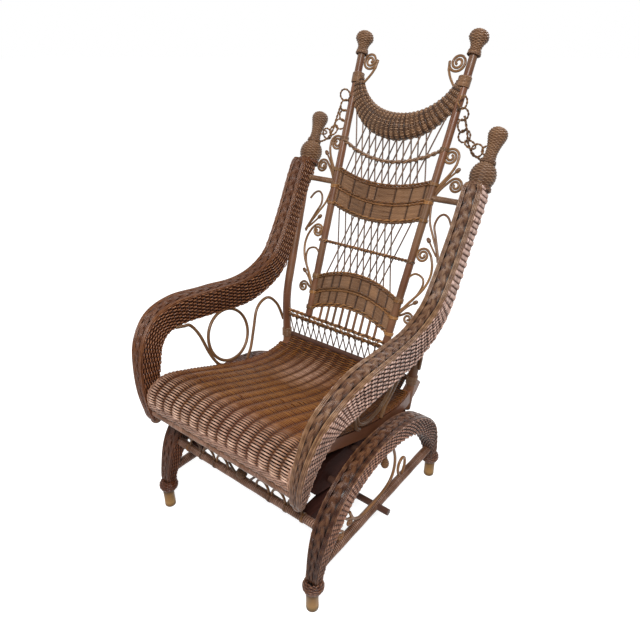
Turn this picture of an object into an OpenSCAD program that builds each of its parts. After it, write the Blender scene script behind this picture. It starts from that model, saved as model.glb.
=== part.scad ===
// Wicker platform rocker: a woven armchair whose runners roll on a separate arched base.
// Millimetres, Z up, the front of the chair faces -Y, X runs across the chair.

/* [Base] */
// Distance between the centres of the two side arches
base_w = 550; // [540:2:600]
// Distance from the front feet to the rear feet
base_d = 598; // [570:2:640]
// Width of an arch across its braided band
arch_w = 48; // [38:1:54]
// Depth of an arch at its crown
arch_t = 50; // [40:1:56]
// Depth of an arch at its ankles
ankle_t = 31; // [28:1:36]
// Width of an arch at its ankles
ankle_w = 32; // [30:1:38]
// Height of the outer rim of an arch at the crown
arch_h = 352; // [344:2:380]
// Height of the middle of an ankle wrapping above the floor
ankle_h = 74; // [66:1:82]
// Radius of a foot peg where it meets the floor
foot_r = 16; // [14:0.5:18]
// Radius of the wrapped stretchers of the base
stretcher_r = 11; // [9:0.5:13]
// Height of the low side stretchers
low_z = 122; // [110:2:140]
// Radius of the low cross stretcher
cross_r = 9; // [7:0.5:10]

/* [Rocking] */
// Height of the point where the runners bear on the rails
bear_z = 236; // [228:1:242]
// Place of that point behind the front feet
bear_y = 300; // [285:1:315]
// Radius of the curved underside of a runner
runner_r = 800; // [700:10:1000]
// Thickness of a runner
runner_w = 22; // [18:1:26]
// How far the rail lies below the bearing point elsewhere
rail_drop = 14; // [13:0.5:16]
// Width of a platform rail
rail_w = 34; // [28:1:40]
// Radius of the three cross bars through the runners
bar_r = 9; // [7:0.5:10]

/* [Seat] */
// Width of the seat between its edges
seat_w = 482; // [460:2:486]
// Height of the rolled front edge
seat_front_z = 457; // [447:1:465]
// Height of the lowest part of the seat
seat_low_z = 357; // [353:1:365]
// Thickness of the woven seat
seat_t = 9; // [6:0.5:11]
// Depth of the bent side rails
side_rail_h = 37; // [30:1:42]
// Thickness of the bent side rails
side_rail_w = 24; // [18:1:28]

/* [Back] */
// Backward lean of the back posts in degrees
back_lean = 22.2; // [20:0.2:25]
// Length of a back post
back_len = 786; // [776:2:820]
// Half the distance between the back posts at their feet
back_half = 143; // [136:1:150]
// Outward splay of each back post per unit of its length
back_splay = 0.042; // [0.03:0.002:0.05]
// Radius of a back post
back_post_r = 11; // [9:0.5:12]
// Radius of the woven knobs on the back posts
knob_r = 25; // [21:0.5:28]
// Thickness of the close woven back panels
panel_t = 6; // [4:0.5:8]
// Radius of the reeds in the lattices
reed_r = 1.8; // [1.2:0.1:2.2]

/* [Arms] */
// Half the distance between the arm balls
arm_half = 285; // [280:1:295]
// Height of the middle of an arm
arm_z = 617; // [605:1:630]
// Width of an arm across its braided band
arm_w = 52; // [42:1:58]
// Radius of the rear arm posts
arm_post_r = 13; // [11:0.5:14]
// Radius of the woven balls on the arms
ball_r = 32; // [27:0.5:34]
// Radius of the bent reeds in the side panels and scrolls
scroll_r = 3.6; // [2.6:0.1:3.7]

/* [Hidden] */
$fn = 32;
fit_gap = 0.3;          // clearance of pieces that touch but aren't glued
wrap_r = 1.6;           // radius of the cane that wraps the joints
turn_steps = 12;        // rings in one turn of a scroll
peg_r = 12;             // front pegs and lower cross pegs

// Side arches
ankle_wrap = 30;        // height of the wrapping round an ankle
ankle_z = ankle_h + ankle_wrap / 2;
ankle_in = 9;           // how far an ankle stands in from its foot
taper_h = 150;          // an arch has its full size this far above its ankles
crown_y = 285;
crown_z = arch_h - arch_t / 2;
arch_gap = 10;          // clearance between the crown of an arch and a side rail
crown_x = seat_w / 2 + arch_gap + arch_w / 2;
arch_lean = (crown_x - base_w / 2) / (crown_z - ankle_z);
function arch_x(z) = base_w / 2 + arch_lean * (z - ankle_z);

// Stretchers lie on the centre line of the arches
front_str_y = 50;
rear_str_y = base_d - 64;
str_z = bear_z - 19;
str_x = arch_x(str_z) - arch_w / 2;
cross_y = 272;
low_r = stretcher_r + 1.5;
cross_len = 2 * arch_x(low_z) + 86;

// Runners and rails
runner_x = seat_w / 2 - side_rail_w - runner_w / 2;
runner_front = bear_y - 218;
runner_back = bear_y + 214;
runner_top = seat_low_z - seat_t - 14;
rail_bottom = bear_z - 38;
bar_places = [[143, 278], [240, 314], [351, 307]];
bar_len = seat_w + 6;

// Springs and their brackets
spring_y = 62;
spring_r = 9;
spring_wire = 1.5;
spring_x = runner_x - rail_w / 2 - spring_r - spring_wire - 3;
spring_turns = 5;
spring_low = rail_bottom + 14;
spring_high = bear_z + 28;
plate_t = 3;

// Seat frame
front_rail_y = -15;
front_rail_z = 367;
front_rail_r = 11;
front_rail_x = seat_w / 2 + 6;
peg_x = seat_w / 2 + 11;
peg_bottom = 324;
peg_ball_r = 15;
seat_back_y = 512;
rear_rail_r = 8;
rear_rail_y = seat_back_y - 3;
rear_rail_z = seat_low_z + 31;

// Rear arm posts: foot, bend and top
post_foot = [seat_w / 2 - 13, 493, bear_z + 62];
post_bend = [seat_w / 2 + 2, 516, arm_z - 92];
post_top = [arm_half - 2, 681, arm_z + 288];

// Back frame: feet of the posts in the middle plane
back_y = 511;
back_z = 495;
rail_y = 508;
double_rail_r = 6.5;
double_rail_z = [457, 473];

// Arm finial axis, from the middle of the ball to the middle of the knob
ball_at = [arm_half, 698, arm_z + 317];
finial_lean = 29;
finial_tilt = 3;
ball_half_h = 37;

// The whole is placed so that its box is centred on the origin
depth_front = -37;
knob_s = back_len + 33;
depth_rear = back_y + knob_s * sin(back_lean) + knob_r;
shift_y = -(depth_front + depth_rear) / 2;

wicker = [0.42, 0.26, 0.16];
wicker_dark = [0.30, 0.18, 0.11];
seat_brown = [0.52, 0.30, 0.15];
red_wood = [0.45, 0.20, 0.11];
dark_wood = [0.14, 0.08, 0.06];
peg_wood = [0.62, 0.45, 0.27];
reed_brown = [0.38, 0.25, 0.17];
iron = [0.20, 0.19, 0.18];

// Curves

function unit(v) = v / norm(v);
function bezier(a, b, c, d, t) =
  a * pow(1 - t, 3) + b * 3 * t * pow(1 - t, 2) + c * 3 * t * t * (1 - t) + d * t * t * t;

// A smooth curve through the given points, with a number of steps between each pair
function through(p, steps) = [
  for (i = [0 : len(p) - 2])
    let (a = p[max(i - 1, 0)], b = p[i], c = p[i + 1], d = p[min(i + 2, len(p) - 1)])
      for (k = [0 : steps - (i == len(p) - 2 ? 0 : 1)])
        let (t = k / steps)
          0.5 * (2 * b + (c - a) * t + (2 * a - 5 * b + 4 * c - d) * t * t
            + (3 * b - a - 3 * c + d) * t * t * t)];

function heading(p, i) = unit(p[min(i + 1, len(p) - 1)] - p[max(i - 1, 0)]);

// A flat curve moved sideways by a distance that may change along it
function beside(p, from, to) = [
  for (i = [0 : len(p) - 1])
    let (h = heading(p, i), d = from + (to - from) * i / (len(p) - 1))
      p[i] + d * [h[1], -h[0]]];

function reversed(p) = [for (i = [len(p) - 1 : -1 : 0]) p[i]];

// A flat spiral from its eye outwards; a positive turn runs anticlockwise
function spiral(centre, eye, rim, turns, last) = [
  for (k = [0 : ceil(abs(turns) * turn_steps)])
    let (t = k / ceil(abs(turns) * turn_steps), a = last - turns * 360 * (1 - t))
      centre + (eye + (rim - eye) * t) * [cos(a), sin(a)]];

function lifted(p) = [for (q = p) [q[0], q[1], 0]];

// Solids

// A skin over equal rings of points, closed at both ends
module skin(rings) {
  m = len(rings[0]);
  n = len(rings);
  sides = [
    for (i = [0 : n - 2]) for (k = [0 : m - 1])
      let (l = (k + 1) % m)
        for (f = [[i * m + l, (i + 1) * m + l, (i + 1) * m + k],
                  [i * m + k, i * m + l, (i + 1) * m + k]]) f];
  start = [for (k = [1 : m - 2]) [0, k + 1, k]];
  finish = [for (k = [1 : m - 2]) [(n - 1) * m, (n - 1) * m + k, (n - 1) * m + k + 1]];
  polyhedron([for (r = rings) for (q = r) q], concat(start, sides, finish), convexity = 10);
}

// A bent reed along a curve that lies in the plane with the given normal
module reed(path, r, normal = [0, 0, 1], sides = 6) {
  skin([
    for (i = [0 : len(path) - 1])
      let (h = heading(path, i), e = unit(cross(h, normal)), g = cross(e, h))
        [for (k = [0 : sides - 1])
          path[i] + r * (cos(k * 360 / sides) * g - sin(k * 360 / sides) * e)]]);
}

// A straight round rod between two points
module rod(a, b, r) {
  d = b - a;
  translate(a)
    rotate([0, acos(d[2] / norm(d)), atan2(d[1], d[0])])
      cylinder(h = norm(d), r = r);
}

module ring(big, small) {
  rotate_extrude($fn = 32)
    translate([big, 0])
      circle(r = small, $fn = 16);
}

// A side view outline drawn in Y and Z, given a thickness across the chair
module across(w) {
  rotate([90, 0, 90])
    linear_extrude(w, center = true)
      children();
}

module both_sides() {
  children();
  mirror([1, 0, 0])
    children();
}

module placed() {
  translate([0, shift_y, 0])
    children();
}

// Base

arch_steps = 20;
arch_front = [
  for (i = [0 : arch_steps])
    bezier([ankle_in, ankle_z], [ankle_in + 22, ankle_z + 127], [crown_y - 180, crown_z],
      [crown_y, crown_z], i / arch_steps)];
arch_rear = [
  for (i = [1 : arch_steps])
    bezier([crown_y, crown_z], [crown_y + 190, crown_z], [base_d - ankle_in - 22, ankle_z + 127],
      [base_d - ankle_in, ankle_z], i / arch_steps)];
arch_path = concat(arch_front, arch_rear);

// An arch grows from its ankles to its full width and thickness
function grown(ankle, full, z) =
  let (t = min(max((z - ankle_z) / taper_h, 0), 1)) ankle + (full - ankle) * t * t * (3 - 2 * t);
function arch_rim(side) = [
  for (i = [0 : len(arch_path) - 1])
    let (h = heading(arch_path, i), p = arch_path[i])
      p + side * grown(ankle_t, arch_t, p[1]) / 2 * [h[1], -h[0]]];

// An arch leans so that its feet and its crown can stand at different distances
module leaning() {
  multmatrix([[1, 0, arch_lean, base_w / 2 - arch_lean * ankle_z], [0, 1, 0, 0], [0, 0, 1, 0]])
    children();
}

module base_arch() {
  color(wicker)
    difference() {
      leaning()
        intersection() {
          across(arch_w)
            polygon(concat(arch_rim(-1), reversed(arch_rim(1))));
          translate([0, base_d + arch_t, 0])
            rotate([90, 0, 0])
              linear_extrude(base_d + 2 * arch_t)
                arch_front_view();
        }
      side_stretcher();
    }
}

// Seen from the front, an arch narrows towards its ankles
module arch_front_view() {
  side = [for (i = [0 : 8])
    let (z = ankle_z + taper_h * i / 8) [grown(ankle_w, arch_w, z) / 2, z]];
  top = arch_w / 2 + 1;
  mirrored = [for (q = reversed(side)) [-q[0], q[1]]];
  polygon(concat([[ankle_w / 2, 0]], side, [[top, ankle_z + taper_h + 10], [top, arch_h + 1],
    [-top, arch_h + 1], [-top, ankle_z + taper_h + 10]], mirrored, [[-ankle_w / 2, 0]]));
}

module side_stretcher() {
  rod([arch_x(low_z), 4, low_z], [arch_x(low_z), base_d - 4, low_z], low_r);
}

module base_arch_right() { base_arch(); }
module base_arch_left() { mirror([1, 0, 0]) base_arch(); }

module at_feet() {
  both_sides()
    for (y = [0, base_d])
      translate([base_w / 2, y, 0])
        mirror([0, y > 0 ? 1 : 0, 0])
          children();
}

module foot_pegs() {
  color(peg_wood)
    at_feet()
      rotate_extrude()
        polygon([[0, 0], [foot_r - 1.5, 0], [foot_r, 2], [foot_r, ankle_z], [0, ankle_z]]);
}

// A bulging wrapping of cane round the top of each peg and the foot of the arch
module ankle_rings() {
  h = ankle_wrap / 2;
  r = foot_r;
  color(wicker_dark)
    at_feet()
      difference() {
        translate([0, ankle_in / 2, ankle_h])
          rotate_extrude()
            polygon(concat([[0, h - 1], [0, 1 - h]], through([[r + 3, 1 - h], [r + 8, -0.6 * h],
              [r + 11, 0], [r + 10, 0.5 * h], [r + 6, 0.85 * h], [r + 3, h - 1]], 3)));
        cylinder(h = ankle_z, r = r);
      }
}

module side_stretchers() {
  color(wicker)
    both_sides()
      difference() {
        side_stretcher();
        rod([0, cross_y, low_z], [cross_len, cross_y, low_z], cross_r);
      }
}

module cross_stretcher() {
  color(wicker_dark)
    rod([-cross_len / 2, cross_y, low_z], [cross_len / 2, cross_y, low_z], cross_r);
}

module front_stretcher() {
  color(wicker)
    rod([-str_x, front_str_y, str_z], [str_x, front_str_y, str_z], stretcher_r);
}

module rear_stretcher() {
  color(wicker)
    rod([-str_x, rear_str_y, str_z], [str_x, rear_str_y, str_z], stretcher_r);
}

// The rail is a straight board whose top has one crowned rise, where the runner bears
crown_half = 26;
crown_steps = 6;
module platform_rails() {
  crown = [
    for (i = [-crown_steps : crown_steps])
      let (t = i / crown_steps)
        [bear_y + t * crown_half, bear_z - fit_gap - rail_drop * pow(abs(t), 1.5)]];
  color(dark_wood)
    both_sides()
      translate([runner_x, 0, 0])
        difference() {
          across(rail_w)
            polygon(concat([[front_str_y, rail_bottom], [front_str_y, bear_z - fit_gap - rail_drop]],
              crown, [[rear_str_y, bear_z - fit_gap - rail_drop], [rear_str_y, rail_bottom]]));
          rod([-rail_w, front_str_y, str_z], [rail_w, front_str_y, str_z], stretcher_r);
          rod([-rail_w, rear_str_y, str_z], [rail_w, rear_str_y, str_z], stretcher_r);
        }
}

// Angle brackets: a leg against the board and a shelf for the springs
module spring_bracket(board_x, shelf_z, leg) {
  reach = board_x - spring_x + spring_r + 5;
  width = 2 * spring_y + 40;
  translate([board_x - reach, bear_y - width / 2, shelf_z])
    cube([reach, width, plate_t]);
  translate([board_x - plate_t, bear_y - width / 2, leg > 0 ? shelf_z : shelf_z + leg])
    cube([plate_t, width, abs(leg)]);
}

module spring_plates_low() {
  color(iron)
    both_sides()
      spring_bracket(runner_x - rail_w / 2, spring_low - plate_t, -10);
}

module spring_plates_top() {
  color(iron)
    both_sides()
      spring_bracket(runner_x - runner_w / 2, spring_high, 24);
}

spring_rings = 8;
function coil(y) = [
  for (i = [0 : spring_turns * spring_rings])
    let (t = i / (spring_turns * spring_rings), a = 360 * spring_turns * t)
      [spring_x + spring_r * cos(a), bear_y + y + spring_r * sin(a),
        spring_low + spring_wire + fit_gap
          + (spring_high - spring_low - 2 * spring_wire - 2 * fit_gap) * t]];

module springs(y) {
  path = coil(y);
  color(iron)
    both_sides()
      skin([
        for (i = [0 : len(path) - 1])
          let (h = heading(path, i), e = unit(cross(h, [0, 0, 1])), g = cross(e, h))
            [for (k = [0 : 5])
              path[i] + spring_wire * (cos(k * 60) * g - sin(k * 60) * e)]]);
}

module springs_front() { springs(-spring_y); }
module springs_rear() { springs(spring_y); }

coil_pitch = (spring_high - spring_low - 2 * spring_wire - 2 * fit_gap) / spring_turns;
echo(spring_gap = coil_pitch - 2 * spring_wire);

// Bent reeds inside an arch: a bow, a teardrop, two curls and a drop peg
module base_scrolls() {
  bow = through([[338, 302], [352, 263], [363, 231], [365, 198], [355, 167], [333, 149],
    [296, 140], [250, 137], [206, 138], [170, 158], [150, 196]], 4);
  drop = through([[398, 134], [387, 160], [390, 184], [406, 195], [421, 184], [423, 158],
    [412, 134]], 4);
  curl_low = concat(spiral([150, 162], 3, 13, 1.2, 90), [[138, 182], [124, 200]]);
  curl_high = concat(spiral([112, 146], 3, 13, 1.2, 60), [[108, 168], [98, 188], [92, 206]]);
  color(reed_brown)
    leaning() {
      for (path = [bow, drop])
        reed([for (q = path) [0, q[0], q[1]]], scroll_r + 0.8, [1, 0, 0]);
      for (path = [curl_low, curl_high])
        reed([for (q = path) [0, q[0], q[1]]], scroll_r, [1, 0, 0]);
      rod([6, crown_y, crown_z - arch_t / 2 + 4], [16, crown_y - 6, crown_z - arch_t / 2 - 30], 9);
    }
}

module base_scrolls_right() { base_scrolls(); }
module base_scrolls_left() { mirror([1, 0, 0]) base_scrolls(); }

// Low arches of reed and a middle knob that stand on the front stretcher
module front_scrolls() {
  top = str_z + stretcher_r;
  color(reed_brown)
    translate([0, front_str_y, 0]) {
      both_sides()
        for (c = [74, 128, 182])
          reed([for (i = [0 : 12])
            [c - 22 * cos(i * 15), 0, top - 1 + 30 * sin(i * 15)]], scroll_r, [0, 1, 0]);
      translate([0, 0, top + 12])
        sphere(r = 14);
      rod([22, 0, top - 2], [48, 0, top + 26], 3.5);
      rod([-22, 0, top - 2], [-48, 0, top + 26], 3.5);
    }
}

// Runners and seat frame

module runner() {
  centre_z = bear_z + runner_r;
  steps = 24;
  under = [
    for (i = [0 : steps])
      let (y = runner_front + 8 + (runner_back - 8 - runner_front) * i / steps)
        [y, centre_z - sqrt(runner_r * runner_r - pow(y - bear_y, 2))]];
  nose_z = under[0][1];
  color(dark_wood)
    translate([runner_x, 0, 0])
      difference() {
        across(runner_w)
          polygon(concat(under, [[runner_back, runner_top], [130, runner_top],
            [runner_front + 26, nose_z + 44], [runner_front + 8, nose_z + 34],
            [runner_front, nose_z + 18], [runner_front + 1, nose_z + 7]]));
        for (b = bar_places)
          rod([-runner_w, b[0], b[1]], [runner_w, b[0], b[1]], bar_r);
      }
}

module runner_right() { runner(); }
module runner_left() { mirror([1, 0, 0]) runner(); }

module runner_bars() {
  color(dark_wood)
    for (b = bar_places)
      rod([-bar_len / 2, b[0], b[1]], [bar_len / 2, b[0], b[1]], bar_r);
}

// Top line of the woven seat, from the front rail over the rolled front to the scooped rear
seat_top = through([
  [front_rail_y - front_rail_r - 3, front_rail_z], [-35, 400], [-28, seat_front_z - 22],
  [2, seat_front_z - 3], [40, seat_front_z], [100, seat_front_z - 16],
  [198, seat_low_z + 50], [300, seat_low_z + 17], [397, seat_low_z],
  [455, seat_low_z + 2], [490, seat_low_z + 18], [seat_back_y, seat_low_z + 39]], 5);

// The rear corners of the weave are cut out round the arm posts
corner_x = post_foot[0] - arm_post_r - 1;
corner_y = post_foot[1] - arm_post_r - 2;

module seat_weave() {
  color(seat_brown)
    difference() {
      across(seat_w)
        polygon(concat(seat_top, reversed(beside(seat_top, seat_t, seat_t))));
      both_sides()
        translate([corner_x, corner_y, 0])
          cube([seat_w, seat_w, seat_front_z]);
      rod([-seat_w, front_rail_y, front_rail_z], [seat_w, front_rail_y, front_rail_z], front_rail_r);
      rod([-seat_w, rear_rail_y, rear_rail_z], [seat_w, rear_rail_y, rear_rail_z], rear_rail_r);
      translate([-seat_w, rear_rail_y, 0])
        cube([2 * seat_w, seat_w, seat_front_z]);
    }
}

// A side rail is a deep bent board that follows the underside of the seat
module side_rail() {
  under = beside(seat_top, seat_t, seat_t);
  run = [for (q = under) if (q[0] > 4 && q[1] < seat_front_z) q];
  low = beside(run, side_rail_h * 0.8, side_rail_h);
  color(red_wood)
    difference() {
      translate([seat_w / 2 - side_rail_w / 2, 0, 0])
        across(side_rail_w)
          polygon(concat(run, reversed(low)));
      rod(post_foot, post_bend, arm_post_r);
    }
}

module side_rail_right() { side_rail(); }
module side_rail_left() { mirror([1, 0, 0]) side_rail(); }

module seat_front_rail() {
  color(wicker)
    rod([-front_rail_x, front_rail_y, front_rail_z], [front_rail_x, front_rail_y, front_rail_z],
      front_rail_r);
}

module seat_rear_rail() {
  x = post_foot[0] - arm_post_r + 1;
  color(red_wood)
    rod([-x, rear_rail_y, rear_rail_z], [x, rear_rail_y, rear_rail_z], rear_rail_r);
}

peg_top = arm_z - 266;
module front_pegs() {
  color(red_wood)
    both_sides()
      translate([peg_x, front_rail_y, peg_bottom + peg_ball_r])
        union() {
          cylinder(h = peg_top - peg_bottom - peg_ball_r, r = peg_r);
          sphere(r = peg_ball_r);
        }
}

post_curve = 45;
module rear_post() {
  a = post_bend - post_curve * unit(post_bend - post_foot);
  b = post_bend + post_curve * unit(post_top - post_bend);
  bend = [for (i = [0 : 6])
    let (t = i / 6)
      a * pow(1 - t, 2) + post_bend * 2 * t * (1 - t) + b * t * t];
  color(red_wood)
    reed(concat([post_foot], bend, [post_top]), arm_post_r, [1, 0, 0], 16);
}

module rear_post_right() { rear_post(); }
module rear_post_left() { mirror([1, 0, 0]) rear_post(); }

// Arms

// Middle of the braided band: place across, along and up, then width and depth of the box
arm_stations = [
  [arm_half, 641, arm_z + 309, arm_w - 2, 62],
  [arm_half + 2, 610, arm_z + 248, arm_w, 55],
  [arm_half + 1, 577, arm_z + 183, arm_w, 53],
  [arm_half - 1, 520, arm_z + 86, arm_w + 1, 61],
  [arm_half - 1, 468, arm_z + 29, arm_w - 1, 71],
  [arm_half + 2, 370, arm_z - 3, arm_w - 4, 74],
  [arm_half + 12, 250, arm_z + 1, arm_w, 70],
  [arm_half + 20, 130, arm_z + 8, arm_w + 2, 69],
  [arm_half + 18, 50, arm_z - 11, arm_w - 3, 67],
  [arm_half + 6, -3, arm_z - 58, arm_w - 8, 64],
  [peg_x + 26, -29, arm_z - 126, arm_w - 16, 61],
  [peg_x + 12, -37, arm_z - 202, arm_w - 20, 46],
  [peg_x + 1, -30, arm_z - 277, arm_w - 24, 30]];
arm_line = through(arm_stations, 4);
arm_bevel = 5;

module arm() {
  color(wicker)
    skin([
      for (i = [0 : len(arm_line) - 1])
        let (a = arm_line[max(i - 1, 0)], b = arm_line[min(i + 1, len(arm_line) - 1)],
          h = unit([b[1] - a[1], b[2] - a[2]]), p = arm_line[i],
          o = [p[0], p[1], p[2]], x = [1, 0, 0], n = [0, -h[1], h[0]],
          w = p[3] / 2, d = p[4], c = arm_bevel)
          [for (q = [[c - w, 0], [w - c, 0], [w, c], [w, d - c], [w - c, d], [c - w, d],
              [-w, d - c], [-w, c]])
            o + q[0] * x + q[1] * n]]);
}

module arm_right() { arm(); }
module arm_left() { mirror([1, 0, 0]) arm(); }

// Frame of the ball, neck and knob on top of an arm
module on_arm_axis(along) {
  both_sides()
    translate(ball_at)
      rotate([-finial_lean, finial_tilt, 0])
        translate([0, 0, along])
          children();
}

neck_r = 14.5;
arm_knob_r = 24;
arm_knob_at = 110;
arm_ring_r = 4.5;
ball_foot = ball_half_h - 4;

module arm_rings() {
  color(wicker_dark)
    on_arm_axis(arm_ring_r - ball_foot)
      ring(arm_w / 2 + 4, arm_ring_r);
}

module arm_balls() {
  color(wicker)
    on_arm_axis(0)
      rotate_extrude()
        polygon(concat(
          [[0, -ball_foot], [ball_r * cos(60), -ball_foot]],
          [for (a = [-60 : 12 : 60]) [ball_r * cos(a) + 1, ball_half_h * sin(a)]],
          [[neck_r, ball_foot], [0, ball_foot]]));
}

// A woven pear knob: a neck that widens to a round head
module pear(head_r, neck, low, head_at) {
  l = head_at - low;
  h = 0.78 * head_r;
  rotate_extrude()
    polygon(concat([[0, low]],
      through([[neck + 3, low], [neck + 1, low + 0.2 * l], [neck, low + 0.4 * l],
        [neck + 0.35 * (head_r - neck), low + 0.66 * l], [0.93 * head_r, low + 0.86 * l],
        [head_r, head_at], [0.86 * head_r, head_at + 0.55 * h], [0.5 * head_r, head_at + 0.88 * h],
        [0, head_at + h]], 3)));
}

module arm_knobs() {
  color(wicker)
    on_arm_axis(0)
      pear(arm_knob_r, neck_r, ball_foot, arm_knob_at);
}

// Back, drawn flat: X across, Y up the back, Z towards the sitter

module in_back() {
  translate([0, back_y, back_z])
    rotate([90 - back_lean, 0, 0])
      children();
}

function post_x(s) = back_half + back_splay * s;
back_foot = -20;

module back_post() {
  color(red_wood)
    in_back()
      rod([post_x(back_foot), back_foot, 0], [post_x(back_len), back_len, 0], back_post_r);
}

module back_post_right() { back_post(); }
module back_post_left() { mirror([1, 0, 0]) back_post(); }

collar = 12;
module back_knobs() {
  color(wicker)
    in_back()
      both_sides()
        translate([post_x(back_len), back_len, 0])
          rotate([-90, 0, -atan(back_splay)])
            difference() {
              pear(knob_r, back_post_r + 3, -collar, knob_s - back_len);
              translate([0, 0, -collar - 1])
                cylinder(h = collar + 1, r = back_post_r);
            }
}

// The crescent hangs between the posts and tapers to a horn at each of them
horn_s = back_len - 80;
crescent_sag = 128;
crescent_mid = 36;
crescent_horn = 15;
crescent_steps = 26;
function crescent_line(t) =
  [post_x(horn_s) * sin(t * 82) / sin(82) * 0.94,
    horn_s - crescent_sag * (cos(t * 82) - cos(82)) / (1 - cos(82))];
function crescent_half(t) = crescent_horn + (crescent_mid - crescent_horn) * (1 - pow(abs(t), 1.6));

module crescent_roll() {
  line = [for (i = [0 : crescent_steps]) crescent_line(2 * i / crescent_steps - 1)];
  color(wicker)
    in_back()
      skin([
        for (i = [0 : crescent_steps])
          let (t = 2 * i / crescent_steps - 1, h = heading(line, i), r = crescent_half(t))
            [for (k = [0 : 11])
              let (a = k * 30)
                [line[i][0], line[i][1], 0] + r * cos(a) * [-h[1], h[0], 0]
                  + [0, 0, -0.72 * r * sin(a)]]]);
}

// Height of a bowed edge at a place across the back
function bow(x, edge, middle) = middle + (edge - middle) * pow(x / back_half, 2);

rope_s = 528;
rope_mid = 478;
rope_r = 5;
rope_front = 8;
upper_top = [438, 412];
upper_low = [335, 309];
rod_s = 220;
lower_top = [108, 144];
lower_low = [8, 43];

module rope_arc() {
  edge = post_x(rope_s);
  color(wicker_dark)
    in_back()
      reed([for (i = [-12 : 12])
        let (x = edge * i / 12)
          [x, rope_mid + (rope_s - rope_mid) * pow(x / edge, 2), rope_front]], rope_r, [0, 0, 1], 8);
}

// A close woven panel with bowed edges, between the posts
module panel(low, top) {
  steps = 12;
  function edge(s) = post_x(s[0]) - back_post_r + 2;
  linear_extrude(panel_t, center = true)
    polygon(concat(
      [for (i = [-steps : steps])
        let (x = edge(low) * i / steps) [x, bow(x, low[0], low[1])]],
      [for (i = [steps : -1 : -steps])
        let (x = edge(top) * i / steps) [x, bow(x, top[0], top[1])]]));
}

module upper_panel() {
  color(wicker)
    in_back()
      panel(upper_low, upper_top);
}

module lower_panel() {
  color(wicker)
    in_back()
      panel(lower_low, lower_top);
}

module twisted_rod() {
  x = post_x(rod_s) + 12;
  color(wicker_dark)
    in_back()
      rod([-x, rod_s, rope_front], [x, rod_s, rope_front], rope_r);
}

// Lattice reeds lean both ways and lie in two layers that touch
lattice_slope = 0.26;
reed_pitch = 27;
reed_sink = 5;

function crescent_under(x) =
  let (t = min(abs(x) / post_x(horn_s), 0.96))
    horn_s + 4 - (crescent_sag + crescent_mid) * sqrt(1 - pow(t, 2.2));

function inside_post(x, s) = abs(x) < post_x(s) - back_post_r + 3;

// Reeds that lean by the given amount, from one bowed edge to another
module leaning_reeds(lean, middle, low, high_at, high_mid) {
  for (i = [-6 : 6])
    let (x = i * reed_pitch * 0.86 + lean * 2,
      low_x = x + lean * lattice_slope * (low[1] - middle),
      low_s = bow(low_x, low[0], low[1]) - reed_sink,
      high_x = x + lean * lattice_slope * (high_mid - middle),
      high_s = high_at(high_x) + reed_sink,
      a = x + lean * lattice_slope * (low_s - middle),
      b = x + lean * lattice_slope * (high_s - middle),
      layer = lean * (reed_r + 0.05))
      if (inside_post(a, low_s) && inside_post(b, high_s))
        rod([a, low_s, layer], [b, high_s, layer], reed_r);
}

module upper_lattice() {
  mid = horn_s - crescent_sag;
  color(reed_brown)
    in_back()
      for (lean = [-1, 1])
        leaning_reeds(lean, (upper_top[0] + mid) / 2 + 10, upper_top,
          function(x) crescent_under(x) + 6, mid);
}

module middle_lattice() {
  color(reed_brown)
    in_back()
      for (lean = [-1, 1])
        leaning_reeds(lean, (upper_low[1] + lower_top[1]) / 2, lower_top,
          function(x) bow(x, upper_low[0], upper_low[1]), upper_low[1]);
}

spindle_pitch = 25;
module spindles() {
  color(red_wood)
    in_back()
      for (i = [-4 : 4])
        let (x = i * spindle_pitch)
          rod([x, back_foot + 3, 0], [x, bow(x, lower_low[0], lower_low[1]) + 4, 0], 4);
}

module back_rails() {
  x = seat_w / 2 - 4;
  color(wicker_dark)
    for (z = double_rail_z)
      rod([-x, rail_y, z], [x, rail_y, z], double_rail_r);
}

// Zigzag of thin reeds between the seat and the double rail
module lower_lattice() {
  low = seat_low_z + 33;
  high = double_rail_z[0] - double_rail_r + 3;
  pitch = (post_bend[0] - arm_post_r - 23) / 9;
  color(reed_brown)
    for (lean = [-1, 1])
      for (i = [-9 : 9])
        let (x = i * pitch + lean * 5)
          rod([x - lean * 9, rail_y + lean * 1.9, low], [x + lean * 9, rail_y + lean * 1.9, high],
            1.8);
}

module back_struts() {
  s = 400;
  from = [post_x(s), back_y + s * sin(back_lean), back_z + s * cos(back_lean)];
  part = (from[2] - post_bend[2]) / (post_top[2] - post_bend[2]);
  to = post_bend + part * (post_top - post_bend);
  run = unit(to - from);
  color(red_wood)
    both_sides()
      rod(from + (back_post_r - 2) * run, to - (arm_post_r - 2) * run, 8);
}

// Bent reed scrolls, drawn flat in the plane of the back

module top_scrolls() {
  s = horn_s + 50;
  x = post_x(s) - back_post_r - 26;
  color(reed_brown)
    in_back()
      reed(lifted(concat(spiral([x, s], 5, 25, -2.2, -190),
        through([[x - 22, s - 18], [x - 12, s - 38], [x + 6, s - 62]], 3))), scroll_r);
}

module top_scrolls_right() { top_scrolls(); }
module top_scrolls_left() { mirror([1, 0, 0]) top_scrolls(); }

bud_r = 5.5;
module bud_rod(path) {
  tip = path[len(path) - 1];
  dir = unit(tip - path[len(path) - 2]);
  reed(lifted(path), 2.8);
  rod([tip[0], tip[1], 0], [tip[0] + 14 * dir[0], tip[1] + 14 * dir[1], 0], bud_r);
}

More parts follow.
